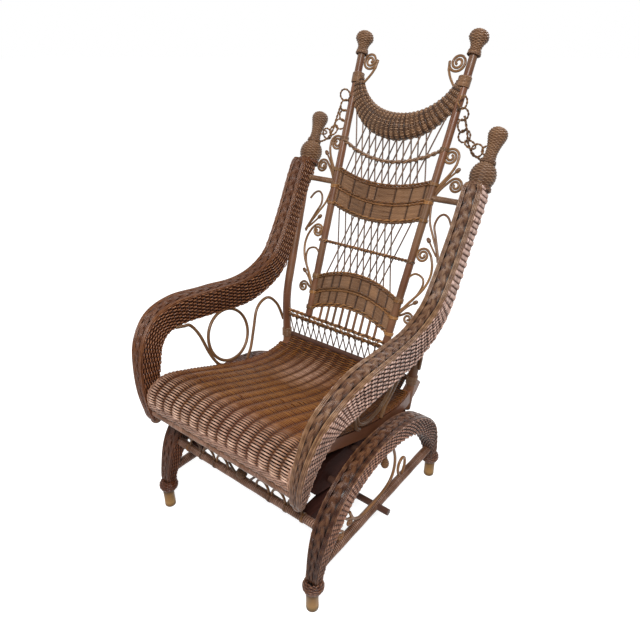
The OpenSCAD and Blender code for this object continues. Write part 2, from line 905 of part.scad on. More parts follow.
// Four spirals, two hairpins, a side reed and three bud rods outside a back post
module side_scrolls() {
  color(reed_brown)
    in_back() {
      reed(lifted(concat(spiral([188, 514], 5, 23, -2.2, 0),
        through([[210, 497], [201, 474], [181, 442], [168, 416]], 3))), scroll_r);
      reed(lifted(concat(spiral([222, 441], 4, 20, 2, 135),
        through([[199, 446], [184, 428], [172, 408]], 3))), scroll_r);
      reed(lifted(concat(spiral([183, 245], 4, 20, -2, 45),
        through([[207, 248], [218, 222], [220, 190], [208, 152], [180, 112], [158, 78]], 3))),
        scroll_r);
      reed(lifted(concat(spiral([188, 66], 3, 17, 1.7, 135),
        through([[168, 72], [156, 66]], 3))), scroll_r);
      reed(lifted(through([[168, 390], [177, 339], [198, 300], [220, 262], [230, 236]], 4)), 3.2);
      reed(lifted(through([[232, 240], [206, 300], [194, 328], [198, 352], [211, 363],
        [227, 357], [240, 338]], 4)), 3.2);
      reed(lifted(through([[160, 84], [190, 124], [205, 160], [201, 184], [178, 192],
        [162, 182], [156, 168]], 4)), 3.2);
      bud_rod([[168, 414], [196, 455], [214, 477]]);
      bud_rod([[222, 250], [204, 270], [192, 284]]);
      bud_rod([[158, 72], [178, 98], [194, 112]]);
    }
}

module side_scrolls_right() { side_scrolls(); }
module side_scrolls_left() { mirror([1, 0, 0]) side_scrolls(); }

// Ring chain: each ring stands square to the next and hangs in it

ring_r = 17;
ring_wire = 2.8;
chain_line = through([[188, 742, 1104], [190, 745, 1064], [197, 742, 1030], [220, 736, 1006],
  [247, 732, 990], [272, 738, 992], [286, 746, 1000]], 12);
ring_pitch = 2 * ring_r - 2 * ring_wire - fit_gap;

// Index of the first point that lies a pitch beyond the given one, or zero past the end
function next_link(i) =
  let (far = [for (k = [i : len(chain_line) - 1])
    if (norm(chain_line[k] - chain_line[i]) >= ring_pitch) k])
    len(far) > 0 ? far[0] : 0;
function links(i) = let (n = next_link(i)) n > 0 ? concat([i], links(n)) : [i];

module ring_chain() {
  spots = links(0);
  color(reed_brown)
    for (i = [0 : len(spots) - 1])
      let (h = heading(chain_line, spots[i]))
        translate(chain_line[spots[i]])
          rotate([0, acos(h[2]), atan2(h[1], h[0])])
            rotate([0, 0, i % 2 * 90 + 20])
              rotate([90, 0, 0])
                ring(ring_r, ring_wire);
}

module ring_chain_right() { ring_chain(); }
module ring_chain_left() { mirror([1, 0, 0]) ring_chain(); }

// Reeds under an arm: a half loop, a ring and an S loop, in one plane that leans outward
reed_lean = 0.2;
module side_reeds() {
  r = scroll_r + 1.2;
  loop_r = 76;
  seat_x = seat_w / 2 + r - 1;
  rise_z = seat_low_z + 40;
  half_loop = through([[104, arm_z - 60], [130, arm_z - 66], [150, arm_z - 72],
    [172, 508], [190, 446], [209, 406], [226, seat_low_z + 35]], 4);
  ring_loop = [
    for (i = [0 : 24])
      let (a = i * 12.5 - 56)
        [272 + loop_r * cos(a), arm_z - 71 - loop_r + loop_r * sin(a)]];
  s_loop = through([[326, seat_low_z + 10], [352, 412], [374, 455], [398, 500], [428, 520],
    [462, 520], [492, 486], [506, 432]], 4);
  color(reed_brown)
    for (path = [half_loop, ring_loop, s_loop])
      reed([for (q = path) [seat_x + reed_lean * max(q[1] - rise_z, 0), q[0], q[1]]], r, [1, 0, 0]);
}

module side_reeds_right() { side_reeds(); }
module side_reeds_left() { mirror([1, 0, 0]) side_reeds(); }

// Cane wrapped round the posts at their joints
module post_wraps() {
  color(wicker)
    both_sides() {
      in_back()
        for (s = [60, 112, 220, 338, 392, 436, 530])
          translate([post_x(s), s, 0])
            rotate([-90, 0, -atan(back_splay)])
              ring(back_post_r + wrap_r, wrap_r);
      run = unit(post_bend - post_foot);
      for (k = [0 : 5])
        translate(post_foot + run * (88 + 3.4 * k))
          rotate([-asin(run[1]), asin(run[0]), 0])
            ring(arm_post_r + wrap_r, wrap_r);
    }
}

placed() base_arch_left();
placed() base_arch_right();
placed() foot_pegs();
placed() ankle_rings();
placed() side_stretchers();
placed() cross_stretcher();
placed() front_stretcher();
placed() rear_stretcher();
placed() platform_rails();
placed() spring_plates_low();
placed() base_scrolls_left();
placed() base_scrolls_right();
placed() front_scrolls();
placed() springs_front();
placed() springs_rear();
placed() spring_plates_top();
placed() runner_left();
placed() runner_right();
placed() runner_bars();
placed() side_rail_left();
placed() side_rail_right();
placed() seat_front_rail();
placed() seat_rear_rail();
placed() seat_weave();
placed() front_pegs();
placed() rear_post_left();
placed() rear_post_right();
placed() arm_left();
placed() arm_right();
placed() arm_rings();
placed() arm_balls();
placed() arm_knobs();
placed() back_post_left();
placed() back_post_right();
placed() back_knobs();
placed() crescent_roll();
placed() upper_lattice();
placed() rope_arc();
placed() upper_panel();
placed() middle_lattice();
placed() twisted_rod();
placed() lower_panel();
placed() spindles();
placed() back_rails();
placed() lower_lattice();
placed() back_struts();
placed() top_scrolls_left();
placed() top_scrolls_right();
placed() side_scrolls_left();
placed() side_scrolls_right();
placed() ring_chain_left();
placed() ring_chain_right();
placed() side_reeds_left();
placed() side_reeds_right();
placed() post_wraps();
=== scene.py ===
# Wicker platform rocking chair: real weaving, wraps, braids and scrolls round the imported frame.
# Sizes are in millimetres with the front feet at y 0; a piece moves into the frame when it is built.
import math

import bpy
import numpy as np
from mathutils import Matrix, Vector


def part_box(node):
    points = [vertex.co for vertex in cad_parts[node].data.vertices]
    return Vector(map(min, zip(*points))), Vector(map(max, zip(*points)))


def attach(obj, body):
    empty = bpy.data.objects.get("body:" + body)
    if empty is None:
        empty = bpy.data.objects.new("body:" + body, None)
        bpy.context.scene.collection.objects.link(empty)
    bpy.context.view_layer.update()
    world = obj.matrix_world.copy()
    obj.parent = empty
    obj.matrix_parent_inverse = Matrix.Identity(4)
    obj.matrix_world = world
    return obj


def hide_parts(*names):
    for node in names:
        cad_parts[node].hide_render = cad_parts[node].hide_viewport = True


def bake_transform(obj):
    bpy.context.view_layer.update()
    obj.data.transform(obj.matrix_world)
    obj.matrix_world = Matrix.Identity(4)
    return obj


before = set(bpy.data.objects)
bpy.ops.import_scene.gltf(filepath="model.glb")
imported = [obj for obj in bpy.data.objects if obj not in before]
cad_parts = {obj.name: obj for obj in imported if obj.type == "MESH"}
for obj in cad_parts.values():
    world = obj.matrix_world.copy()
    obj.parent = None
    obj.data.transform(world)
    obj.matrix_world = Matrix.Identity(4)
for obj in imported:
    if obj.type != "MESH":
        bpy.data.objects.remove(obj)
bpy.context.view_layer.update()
random = np.random.default_rng(12)

footRadius = 16.0
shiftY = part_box("foot_pegs")[0].y * 1000 + footRadius
print("frame loaded, shift", round(shiftY, 3))


# Lines and places

xWay, yWay, zWay = np.eye(3)
fullTurn = 2 * math.pi


def through(points, steps):
    # smooth curve through the points, with equal steps between each pair
    p = np.array(points, float)
    out = []
    for i in range(len(p) - 1):
        a, b, c, d = p[max(i - 1, 0)], p[i], p[i + 1], p[min(i + 2, len(p) - 1)]
        for k in range(steps + (i == len(p) - 2)):
            t = k / steps
            out.append(0.5 * (2 * b + (c - a) * t + (2 * a - 5 * b + 4 * c - d) * t * t
                              + (3 * b - a - 3 * c + d) * t ** 3))
    return np.array(out)


def bezier(a, b, c, d, count):
    t = np.linspace(0, 1, count)[:, None]
    a, b, c, d = (np.array(q, float) for q in (a, b, c, d))
    return a * (1 - t) ** 3 + b * 3 * t * (1 - t) ** 2 + c * 3 * t * t * (1 - t) + d * t ** 3


def unit(v):
    return v / np.maximum(np.linalg.norm(v, axis=-1, keepdims=True), 1e-9)


def runLength(line):
    gaps = np.linalg.norm(np.diff(line[:, :3], axis=0), axis=1)
    return np.concatenate([[0], np.cumsum(gaps)])


def sample(line, along, at):
    return np.stack([np.interp(at, along, column) for column in line.T], -1)


def evenly(line, step):
    # the same line with points a step apart; extra columns follow along
    line = np.asarray(line, float)
    along = runLength(line)
    at = np.linspace(0, along[-1], max(3, int(round(along[-1] / step)) + 1))
    return sample(line, along, at), at


def spiral(centre, eye, rim, turns, last):
    # from the eye out to the rim, which it reaches at the angle called last
    t = np.linspace(0, 1, int(math.ceil(abs(turns) * 22)) + 1)
    a = np.radians(last - turns * 360 * (1 - t))
    r = eye + (rim - eye) * t
    return np.stack([centre[0] + r * np.cos(a), centre[1] + r * np.sin(a)], 1)


def atX(x, points):
    # points of depth and height, all at one distance from the middle
    return np.column_stack([np.full(len(points), x), points])


def evenAngles(count):
    return np.arange(count) / count * fullTurn


def fan(angles, e, g):
    # directions at the angles, counted from e towards g
    return np.cos(angles)[..., None] * e + np.sin(angles)[..., None] * g


def framed(line, normal):
    # two directions square to each point of a line, the second near the normal
    head = unit(np.gradient(line, axis=-2))
    e = unit(np.cross(head, np.broadcast_to(normal, line.shape)))
    return e, np.cross(e, head)


def axisFrame(origin, axis, guide=yWay):
    axis = unit(np.asarray(axis, float))
    e = unit(np.cross(axis, guide))
    return np.asarray(origin, float), e, np.cross(axis, e), axis


def ringFrame(origin, axis):
    return axisFrame(origin, axis, [0.31, 0.2, 0.93] if abs(axis[2]) < 0.9 else xWay)


backPlane = {"y": 511.0, "z": 495.0, "lean": math.radians(22.2), "half": 143.0, "splay": 0.042,
             "postRadius": 11.0, "length": 786.0}
leanSin, leanCos = math.sin(backPlane["lean"]), math.cos(backPlane["lean"])
backOut = np.array([0, -leanCos, leanSin])


def inBack(x, s, out=0.0):
    # x across the back, s up the back, out towards the sitter
    x, s, out = np.broadcast_arrays(np.asarray(x, float), s, out)
    return np.stack([x, backPlane["y"] + s * leanSin - out * leanCos,
                     backPlane["z"] + s * leanCos + out * leanSin], -1)


def postX(s):
    return backPlane["half"] + backPlane["splay"] * s


postWay = unit(inBack(backPlane["splay"], 1.0) - inBack(0, 0))


# Bundles of reed

def tubeFaces(tubes, rings, sides):
    # four cornered faces along each tube and one face on each of its ends
    start = np.arange(tubes)[:, None, None] * rings * sides
    i = start + np.arange(rings - 1)[:, None] * sides
    k = np.arange(sides)
    after = (k + 1) % sides
    quads = np.stack([i + k, i + sides + k, i + sides + after, i + after], -1).reshape(-1, 4)
    start = start[:, 0]
    return quads, np.concatenate([start + k, start + (rings - 1) * sides + k[::-1]])


def addObject(name, data):
    thing = bpy.data.objects.new(name, data)
    bpy.context.scene.collection.objects.link(thing)
    return thing


class Bundle:
    # points in mm, faces grouped by their number of corners, and three marks for the finish:
    # tone (one per reed), dip (how deep in the weave, which sets its painted shade and painted highlight)
    # and run (length along the reed)
    def __init__(self):
        self.points, self.faces, self.count = [], {}, 0
        self.marks = {"tone": [], "dip": [], "run": []}

    def put(self, points, quads, ends, **marks):
        for faces in (quads, ends):
            self.faces.setdefault(faces.shape[1], []).append(faces + self.count)
        points = points.reshape(-1, 3)
        self.points.append(points)
        for key, value in marks.items():
            self.marks[key].append(np.broadcast_to(np.ravel(value), len(points)).astype(float))
        self.count += len(points)

    def reeds(self, paths, normal, radius, sides=6, flat=1.0, tone=None, dip=0.2):
        # round or flattened reeds; paths is one line or a stack of lines of equal length
        paths = np.asarray(paths, float)
        if paths.ndim == 2:
            paths = paths[None]
        n, m, _ = paths.shape
        e, g = framed(paths, normal)
        ring = fan(evenAngles(sides), e[:, :, None], flat * g[:, :, None])
        if tone is None:
            tone = random.random(n)
        gaps = np.linalg.norm(np.diff(paths, axis=1), axis=2)
        run = np.concatenate([np.zeros((n, 1)), np.cumsum(gaps, axis=1)], 1)
        marks = {"tone": np.reshape(tone, (-1, 1)), "dip": dip, "run": run}
        self.put(paths[:, :, None] + np.broadcast_to(radius, (n, m))[:, :, None, None] * ring,
                 *tubeFaces(n, m, sides),
                 **{key: np.repeat(np.broadcast_to(value, (n, m)), sides) for key, value in marks.items()})

    def skin(self, rings, tone=0.2, dip=1.0, run=0.0):
        # a closed skin over equal rings of points, turned so that it faces outwards; by default it is dark
        # with the full painted shade of the hollows
        rings = np.asarray(rings, float)
        m, k = rings.shape[:2]
        quads, ends = tubeFaces(1, m, k)
        a, b, c = rings.reshape(-1, 3)[quads[len(quads) // 2, :3]]
        if np.dot(np.cross(b - a, c - a), a - rings[m // 2].mean(0)) < 0:
            quads, ends = quads[:, ::-1], ends[:, ::-1]
        self.put(rings, quads, ends, tone=tone, dip=dip, run=run)

    def mirrored(self):
        other = Bundle()
        other.points = [p * [-1, 1, 1] for p in self.points]
        other.faces = {corners: [f[:, ::-1] for f in faces] for corners, faces in self.faces.items()}
        other.marks = {key: list(values) for key, values in self.marks.items()}
        other.count = self.count
        return other

    def both(self):
        # adds the same again on the other side of the chair
        other = self.mirrored()
        for corners, faces in other.faces.items():
            self.faces[corners] += [f + self.count for f in faces]
        for key, values in other.marks.items():
            self.marks[key] += values
        self.points += other.points
        self.count *= 2
        return self

    def build(self, name, finish, body, node, slot):
        points = np.concatenate(self.points)
        groups = [np.concatenate(faces) for faces in self.faces.values()]
        loops = np.concatenate([f.ravel() for f in groups])
        sizes = np.concatenate([np.full(len(f), f.shape[1]) for f in groups])
        starts = np.concatenate([[0], np.cumsum(sizes)[:-1]])
        mesh = bpy.data.meshes.new(name)
        mesh.vertices.add(len(points))
        mesh.vertices.foreach_set(
            "co", ((points + [0, shiftY, 0]) * 0.001).astype(np.float32).ravel())
        mesh.loops.add(len(loops))
        mesh.loops.foreach_set("vertex_index", loops.astype(np.int32))
        mesh.polygons.add(len(sizes))
        mesh.polygons.foreach_set("loop_start", starts.astype(np.int32))
        for key, values in self.marks.items():
            layer = mesh.attributes.new(key, "FLOAT", "POINT")
            layer.data.foreach_set("value", np.concatenate(values).astype(np.float32))
        mesh.update(calc_edges=True)
        mesh.validate()
        mesh.shade_smooth()
        mesh.materials.append(finishes[finish])
        piece = addObject(name, mesh)
        if body:
            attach(piece, body)
        if node:
            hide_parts(node)
        print("made", name, len(sizes), "faces")
        return piece

    def buildSides(self, name, finish, body, node, slot):
        # the right one as it was made and the left one mirrored
        self.build(name + "_right", finish, body, node + "_right", slot)
        self.mirrored().build(name + "_left", finish, body, node + "_left", slot)


# Finishes

def tint(rgb):
    # screen colour to the shader's linear colour
    return (*(c / 12.92 if c <= 0.04045 else ((c + 0.055) / 1.055) ** 2.4 for c in
              (channel / 255 for channel in rgb)), 1.0)


def grey(level):
    return (level, level, level, 1.0)


class Nodes:
    # small helper to lay out the shader of a material or of the world
    def __init__(self, owner):
        owner.use_nodes = True
        self.owner, self.tree = owner, owner.node_tree
        self.shader = self.tree.nodes.get("Principled BSDF")

    def feed(self, node, values):
        # a socket is linked, a number or a colour is set
        for key, value in values.items():
            if isinstance(value, bpy.types.NodeSocket):
                self.tree.links.new(value, node.inputs[key])
            else:
                node.inputs[key].default_value = value

    def new(self, kind, values=None, **settings):
        node = self.tree.nodes.new("ShaderNode" + kind)
        for key, value in settings.items():
            setattr(node, key, value)
        self.feed(node, values or {})
        return node

    def noise(self, vector, scale, detail, rough=0.5):
        return self.new("TexNoise", {"Vector": vector, "Scale": scale, "Detail": detail,
                                     "Roughness": rough}).outputs["Fac"]

    def ramp(self, factor, stops):
        node = self.new("ValToRGB", {"Fac": factor})
        while len(node.color_ramp.elements) < len(stops):
            node.color_ramp.elements.new(0.5)
        for element, (at, colour) in zip(node.color_ramp.elements, stops):
            element.position, element.color = at, colour
        return node.outputs["Color"]

    def mix(self, factor, a, b, way="MIX"):
        return self.new("Mix", {0: factor, 6: a, 7: b}, data_type="RGBA", blend_type=way).outputs[2]

    def maths(self, way, a, b):
        return self.new("Math", {0: a, 1: b}, operation=way).outputs[0]

    def times(self, a, b):
        return self.maths("MULTIPLY", a, b)

    def range(self, value, span, toLow, toHigh):
        return self.new("MapRange", {"Value": value, "From Min": span[0], "From Max": span[1],
                                     "To Min": toLow, "To Max": toHigh}).outputs["Result"]

    def seen(self):
        # 1 for what camera, glossy and transmission rays meet, 0 for the rest
        rays = self.new("LightPath").outputs
        most = self.maths("MAXIMUM", rays["Is Camera Ray"], rays["Is Glossy Ray"])
        return self.maths("MAXIMUM", most, rays["Is Transmission Ray"])

    def close(self, colour, roughness, height, relief, coat=None):
        # relief is the bump's strength and distance, coat its weight, roughness and the specular level
        bump = self.new("Bump", {"Strength": relief[0], "Distance": relief[1], "Height": height})
        self.feed(self.shader, {"Base Color": colour, "Roughness": roughness,
                                "Normal": bump.outputs["Normal"]})
        if coat:
            self.feed(self.shader, dict(zip(("Coat Weight", "Coat Roughness", "Specular IOR Level"), coat)))
        return self.owner


# places in metres and colours of the painted shade low down and on the left, and of the wear with a painted
# highlight on the seat
shadeSheenAndWear = {"floorShadeZ": (0.06, 0.34), "floorShadeTint": (0.42, 0.31, 0.21, 1), "lowShadeZ": (0.4, 0.68),
        "lowShadeTint": (0.7, 0.52, 0.4, 1), "leftX": (-0.2, 0.05), "leftShadeEven": 0.42,
        "leftShadeTint": (0.68, 0.45, 0.24, 1), "frontY": (-0.43, -0.34), "sitting": (-0.06, -0.02, 0.36),
        "sittingReach": (0.02, 0.12), "sittingShare": 0.55, "wornSheenTint": (216, 182, 162)}


def reedFinish(name, colours, drift=60.0, patch=8.0, patchShare=0.5, rubSheen=0.3, hollowShade=0.95,
               gloss=(0.24, 0.44), coat=0.12, low=0.0, leftShade=0.0, front=0.0):
    # stained and shellacked reed: each reed has its own tone, drifting along its length
    # low darkens the low parts with painted shade, the left-side setting darkens the left with painted
    # shade, and front pales the seat with wear and a painted highlight
    dark, mid, light, patchTint, hollowShadeTint, rubbedSheen = (tint(colour) for colour in colours)
    n = Nodes(bpy.data.materials.new(name))
    place = n.new("TexCoord").outputs["Object"]
    tone, dip, run = (n.new("Attribute", attribute_name=key).outputs["Fac"]
                      for key in ("tone", "dip", "run"))
    reedPlace = n.new("CombineXYZ", {0: n.times(run, 1 / drift), 1: n.times(tone, 40.0), 2: 0.0})
    flow = n.noise(reedPlace.outputs[0], 1.0, 3.0)
    pick = n.maths("ADD", n.times(tone, 0.45), n.times(flow, 0.55))
    colour = n.ramp(pick, [(0.22, dark), (0.5, mid), (0.78, light)])
    colour = n.mix(n.range(n.noise(place, patch, 3.0), (0.42, 0.68), 0.0, patchShare), colour, patchTint)
    grain = n.noise(place, 700.0, 4.0, 0.65)
    colour = n.mix(1.0, colour, n.ramp(grain, [(0.3, grey(0.74)), (0.7, grey(1.12))]), "MULTIPLY")
    # paler where a reed stands out: rubbed wear with a painted highlight; darker where it dips: painted
    # shade in the hollows
    crestRubSheen = n.times(n.range(dip, (0.0, 0.3), rubSheen, 0.0), n.range(flow, (0.35, 0.65), 0.35, 1.0))
    colour = n.mix(crestRubSheen, colour, rubbedSheen)
    colour = n.mix(n.range(dip, (0.2, 0.85), 0.0, hollowShade), colour, hollowShadeTint)
    # darker towards the floor and lower down: painted shade; more even and browner on the left: painted
    # shade
    x, y, z = n.new("SeparateXYZ", {0: place}).outputs
    for span, shade in ((shadeSheenAndWear["floorShadeZ"], shadeSheenAndWear["floorShadeTint"]), (shadeSheenAndWear["lowShadeZ"], shadeSheenAndWear["lowShadeTint"])):
        colour = n.mix(n.range(z, span, low, 0.0), colour, shade, "MULTIPLY")
    # the left side, away from the lights, gets painted shade
    left = n.range(x, shadeSheenAndWear["leftX"], leftShade, 0.0)
    colour = n.mix(n.times(left, shadeSheenAndWear["leftShadeEven"]), colour, mid)
    colour = n.mix(left, colour, shadeSheenAndWear["leftShadeTint"], "MULTIPLY")
    # paler where legs rub the front of the seat and where people sit: wear, with a painted highlight on the
    # crests
    sitting = n.new("VectorMath", {0: place, 1: shadeSheenAndWear["sitting"]}, operation="DISTANCE").outputs["Value"]
    area = n.maths("MAXIMUM", n.range(y, shadeSheenAndWear["frontY"], front, 0.0),
                   n.range(sitting, shadeSheenAndWear["sittingReach"], shadeSheenAndWear["sittingShare"] * front, 0.0))
    wornSheen = n.times(area, n.range(dip, (0.02, 0.4), 1.0, 0.0))
    colour = n.mix(n.times(wornSheen, n.range(flow, (0.38, 0.62), 0.5, 1.2)), colour, tint(shadeSheenAndWear["wornSheenTint"]))
    rough = n.range(n.maths("ADD", flow, n.times(dip, 0.3)), (0.3, 0.9), *gloss)
    return n.close(colour, rough, grain, (0.35, 0.0004), (coat, 0.22, 0.2))


def woodFinish(name, colours, stretch, streak, gloss, coat, shine):
    # stained wood: long streaks along one direction, worn and darker in patches
    dark, mid, light, patchTint = (tint(colour) for colour in colours)
    n = Nodes(bpy.data.materials.new(name))
    place = n.new("TexCoord").outputs["Object"]
    stretched = n.new("Mapping", {"Vector": place, "Scale": stretch}).outputs["Vector"]
    streaks, patches = n.noise(stretched, streak, 5.0, 0.6), n.noise(place, 9.0, 3.0)
    colour = n.ramp(streaks, [(0.3, dark), (0.52, mid), (0.74, light)])
    colour = n.mix(n.range(patches, (0.45, 0.7), 0.0, 0.6), colour, patchTint)
    edge = n.new("NewGeometry").outputs["Pointiness"]
    colour = n.mix(n.range(edge, (0.51, 0.6), 0.0, 0.5), colour, light)
    rough = n.range(patches, (0.3, 0.8), *gloss)
    return n.close(colour, rough, streaks, (0.3, 0.0006), (coat, 0.25, shine))


def ironFinish(name):
    n = Nodes(bpy.data.materials.new(name))
    rust = n.noise(n.new("TexCoord").outputs["Object"], 60.0, 5.0, 0.65)
    colour = n.ramp(rust, [(0.35, tint((52, 48, 46))), (0.55, tint((78, 66, 58))),
                           (0.72, tint((112, 74, 50)))])
    n.feed(n.shader, {"Metallic": 0.7})
    return n.close(colour, n.range(rust, (0.35, 0.7), 0.38, 0.75), rust, (0.25, 0.0005))


# colours: dark, mid, light, patches, hollows in painted shade and rubbed places with a painted highlight
reeds = {
    "sideWeave": {
        "colours": [(58, 34, 24), (96, 64, 49), (142, 106, 88), (80, 46, 30), (11, 6, 4),
                    (212, 184, 172)],
        "patch": 5.0, "rubSheen": 0.82, "hollowShade": 0.97, "gloss": (0.24, 0.45), "coat": 0.14,
        "low": 0.9, "leftShade": 1.0},
    "braid": {
        "colours": [(58, 36, 22), (94, 63, 42), (130, 98, 72), (78, 48, 34), (11, 6, 4), (160, 134, 104)],
        "drift": 70.0, "patch": 3.4, "patchShare": 0.6, "gloss": (0.26, 0.46), "low": 0.9, "leftShade": 1.0},
    "edgeReed": {
        "colours": [(66, 40, 26), (100, 68, 46), (150, 118, 84), (80, 46, 32), (18, 10, 6),
                    (196, 168, 138)],
        "drift": 45.0, "patch": 3.4, "patchShare": 0.65, "rubSheen": 0.42, "hollowShade": 0.9,
        "coat": 0.14, "low": 0.9, "leftShade": 1.0},
    "seatWeave": {
        "colours": [(54, 24, 4), (90, 47, 12), (126, 78, 28), (92, 38, 8), (15, 6, 2), (172, 122, 68)],
        "drift": 50.0, "patch": 3.2, "patchShare": 0.75, "rubSheen": 0.26, "hollowShade": 0.97, "gloss": (0.26, 0.46),
        "coat": 0.1, "front": 0.66},
    "backWeave": {
        "colours": [(64, 40, 24), (98, 66, 42), (134, 98, 68), (90, 68, 54), (14, 8, 4), (172, 142, 112)],
        "patch": 7.0, "rubSheen": 0.4},
    "scrollReed": {
        "colours": [(60, 39, 22), (100, 69, 39), (150, 109, 64), (80, 44, 27), (22, 13, 8),
                    (178, 146, 110)],
        "drift": 80.0, "patchShare": 0.55, "rubSheen": 0.25, "hollowShade": 0.7, "coat": 0.14,
        "low": 0.45},
    "latticeReed": {
        "colours": [(48, 37, 30), (80, 62, 50), (116, 90, 70), (78, 44, 28), (24, 16, 11),
                    (150, 122, 100)],
        "drift": 80.0, "hollowShade": 0.7, "gloss": (0.26, 0.46)},
    "wrapCane": {
        "colours": [(78, 48, 30), (120, 84, 59), (170, 132, 102), (84, 52, 34), (17, 10, 7),
                    (214, 184, 170)],
        "drift": 40.0, "patch": 6.0, "patchShare": 0.6, "rubSheen": 0.55, "hollowShade": 0.92,
        "gloss": (0.24, 0.46), "low": 0.45},
    "ropeReed": {
        "colours": [(56, 31, 14), (104, 63, 31), (168, 118, 68), (70, 50, 28), (14, 7, 3),
                    (206, 160, 104)],
        "drift": 40.0, "patch": 9.0, "rubSheen": 0.45, "gloss": (0.22, 0.42), "coat": 0.16},
    "postWood": {
        "colours": [(52, 27, 17), (86, 48, 29), (128, 86, 58), (96, 74, 52), (24, 12, 7), (160, 122, 92)],
        "drift": 120.0, "patchShare": 0.65, "rubSheen": 0.25, "hollowShade": 0.7, "gloss": (0.32, 0.52),
        "coat": 0.08},
    "tipWood": {
        "colours": [(84, 56, 26), (128, 92, 48), (172, 132, 80), (88, 72, 38), (40, 24, 11),
                    (190, 154, 102)],
        "drift": 30.0, "patch": 30.0, "patchShare": 0.7, "hollowShade": 0.85,
        "gloss": (0.36, 0.6), "coat": 0.05}}
# colours: dark, mid, light and patches
boards = {
    "redBoard": {
        "colours": [(48, 23, 13), (82, 44, 27), (126, 82, 58), (82, 55, 40)], "stretch": (6.0, 0.6, 3.0),
        "streak": 26.0, "gloss": (0.24, 0.46), "coat": 0.12, "shine": 0.2},
    "darkBoard": {
        "colours": [(26, 13, 11), (42, 23, 20), (66, 40, 34), (50, 30, 28)], "stretch": (5.0, 0.7, 3.0),
        "streak": 24.0, "gloss": (0.5, 0.7), "coat": 0.0, "shine": 0.02},
    "darkBar": {
        "colours": [(32, 20, 15), (52, 34, 27), (88, 62, 51), (66, 48, 41)], "stretch": (0.7, 6.0, 6.0),
        "streak": 24.0, "gloss": (0.38, 0.62), "coat": 0.03, "shine": 0.1}}
finishes = {name: reedFinish(name, **s) for name, s in reeds.items()}
finishes.update({name: woodFinish(name, **s) for name, s in boards.items()})
finishes["iron"] = ironFinish("iron")
print("finishes ready")


# Ways of working reed

def braidOver(bundle, centre, up, along, half, s):
    # three flat strands, each of several reeds, plaited along a line
    forward = np.cross(up, xWay)
    strandHalf = half * s["share"]
    reed = strandHalf / s["reeds"]
    reach = half - strandHalf
    for strand in range(3):
        turn = fullTurn * (along / s["cycle"] + strand / 3)
        slope = np.arctan(reach * np.cos(turn) * fullTurn / s["cycle"])
        over = np.sin(2 * turn)
        strandTone = 0.25 + 0.3 * random.random()
        for j in range(s["reeds"]):
            shift = (2 * j + 1 - s["reeds"]) * reed
            path = (centre + xWay * (reach * np.sin(turn) + shift * np.cos(slope))[:, None]
                    - forward * (shift * np.sin(slope))[:, None]
                    + up * (s["rise"] + s["lift"] * over)[:, None])
            # the outer reeds of a strand and a strand passing under are darker: painted shade
            dip = 0.5 if j in (0, s["reeds"] - 1) else 0.24
            bundle.reeds(path, up, reed * 1.04, flat=s["flat"], tone=strandTone + 0.3 * random.random(),
                         dip=np.clip(dip - 0.2 * over, 0, 1))


def openBox(width, depth, corner, count):
    # down one side of a box, along its bottom and up the other side, with rounded corners
    arc = np.radians(np.linspace(0, 90, 5))
    side = np.stack([width / 2 - corner + corner * np.cos(arc),
                     depth - corner + corner * np.sin(arc)], 1)
    line = np.concatenate([[[width / 2, 2.0]], side, (side * [-1, 1])[::-1], [[-width / 2, 2.0]]])
    along = runLength(line)
    points = sample(line, along, np.linspace(0, along[-1], count))
    ahead = unit(np.gradient(points, axis=0))
    return points, np.stack([ahead[:, 1], -ahead[:, 0]], 1), along[-1]


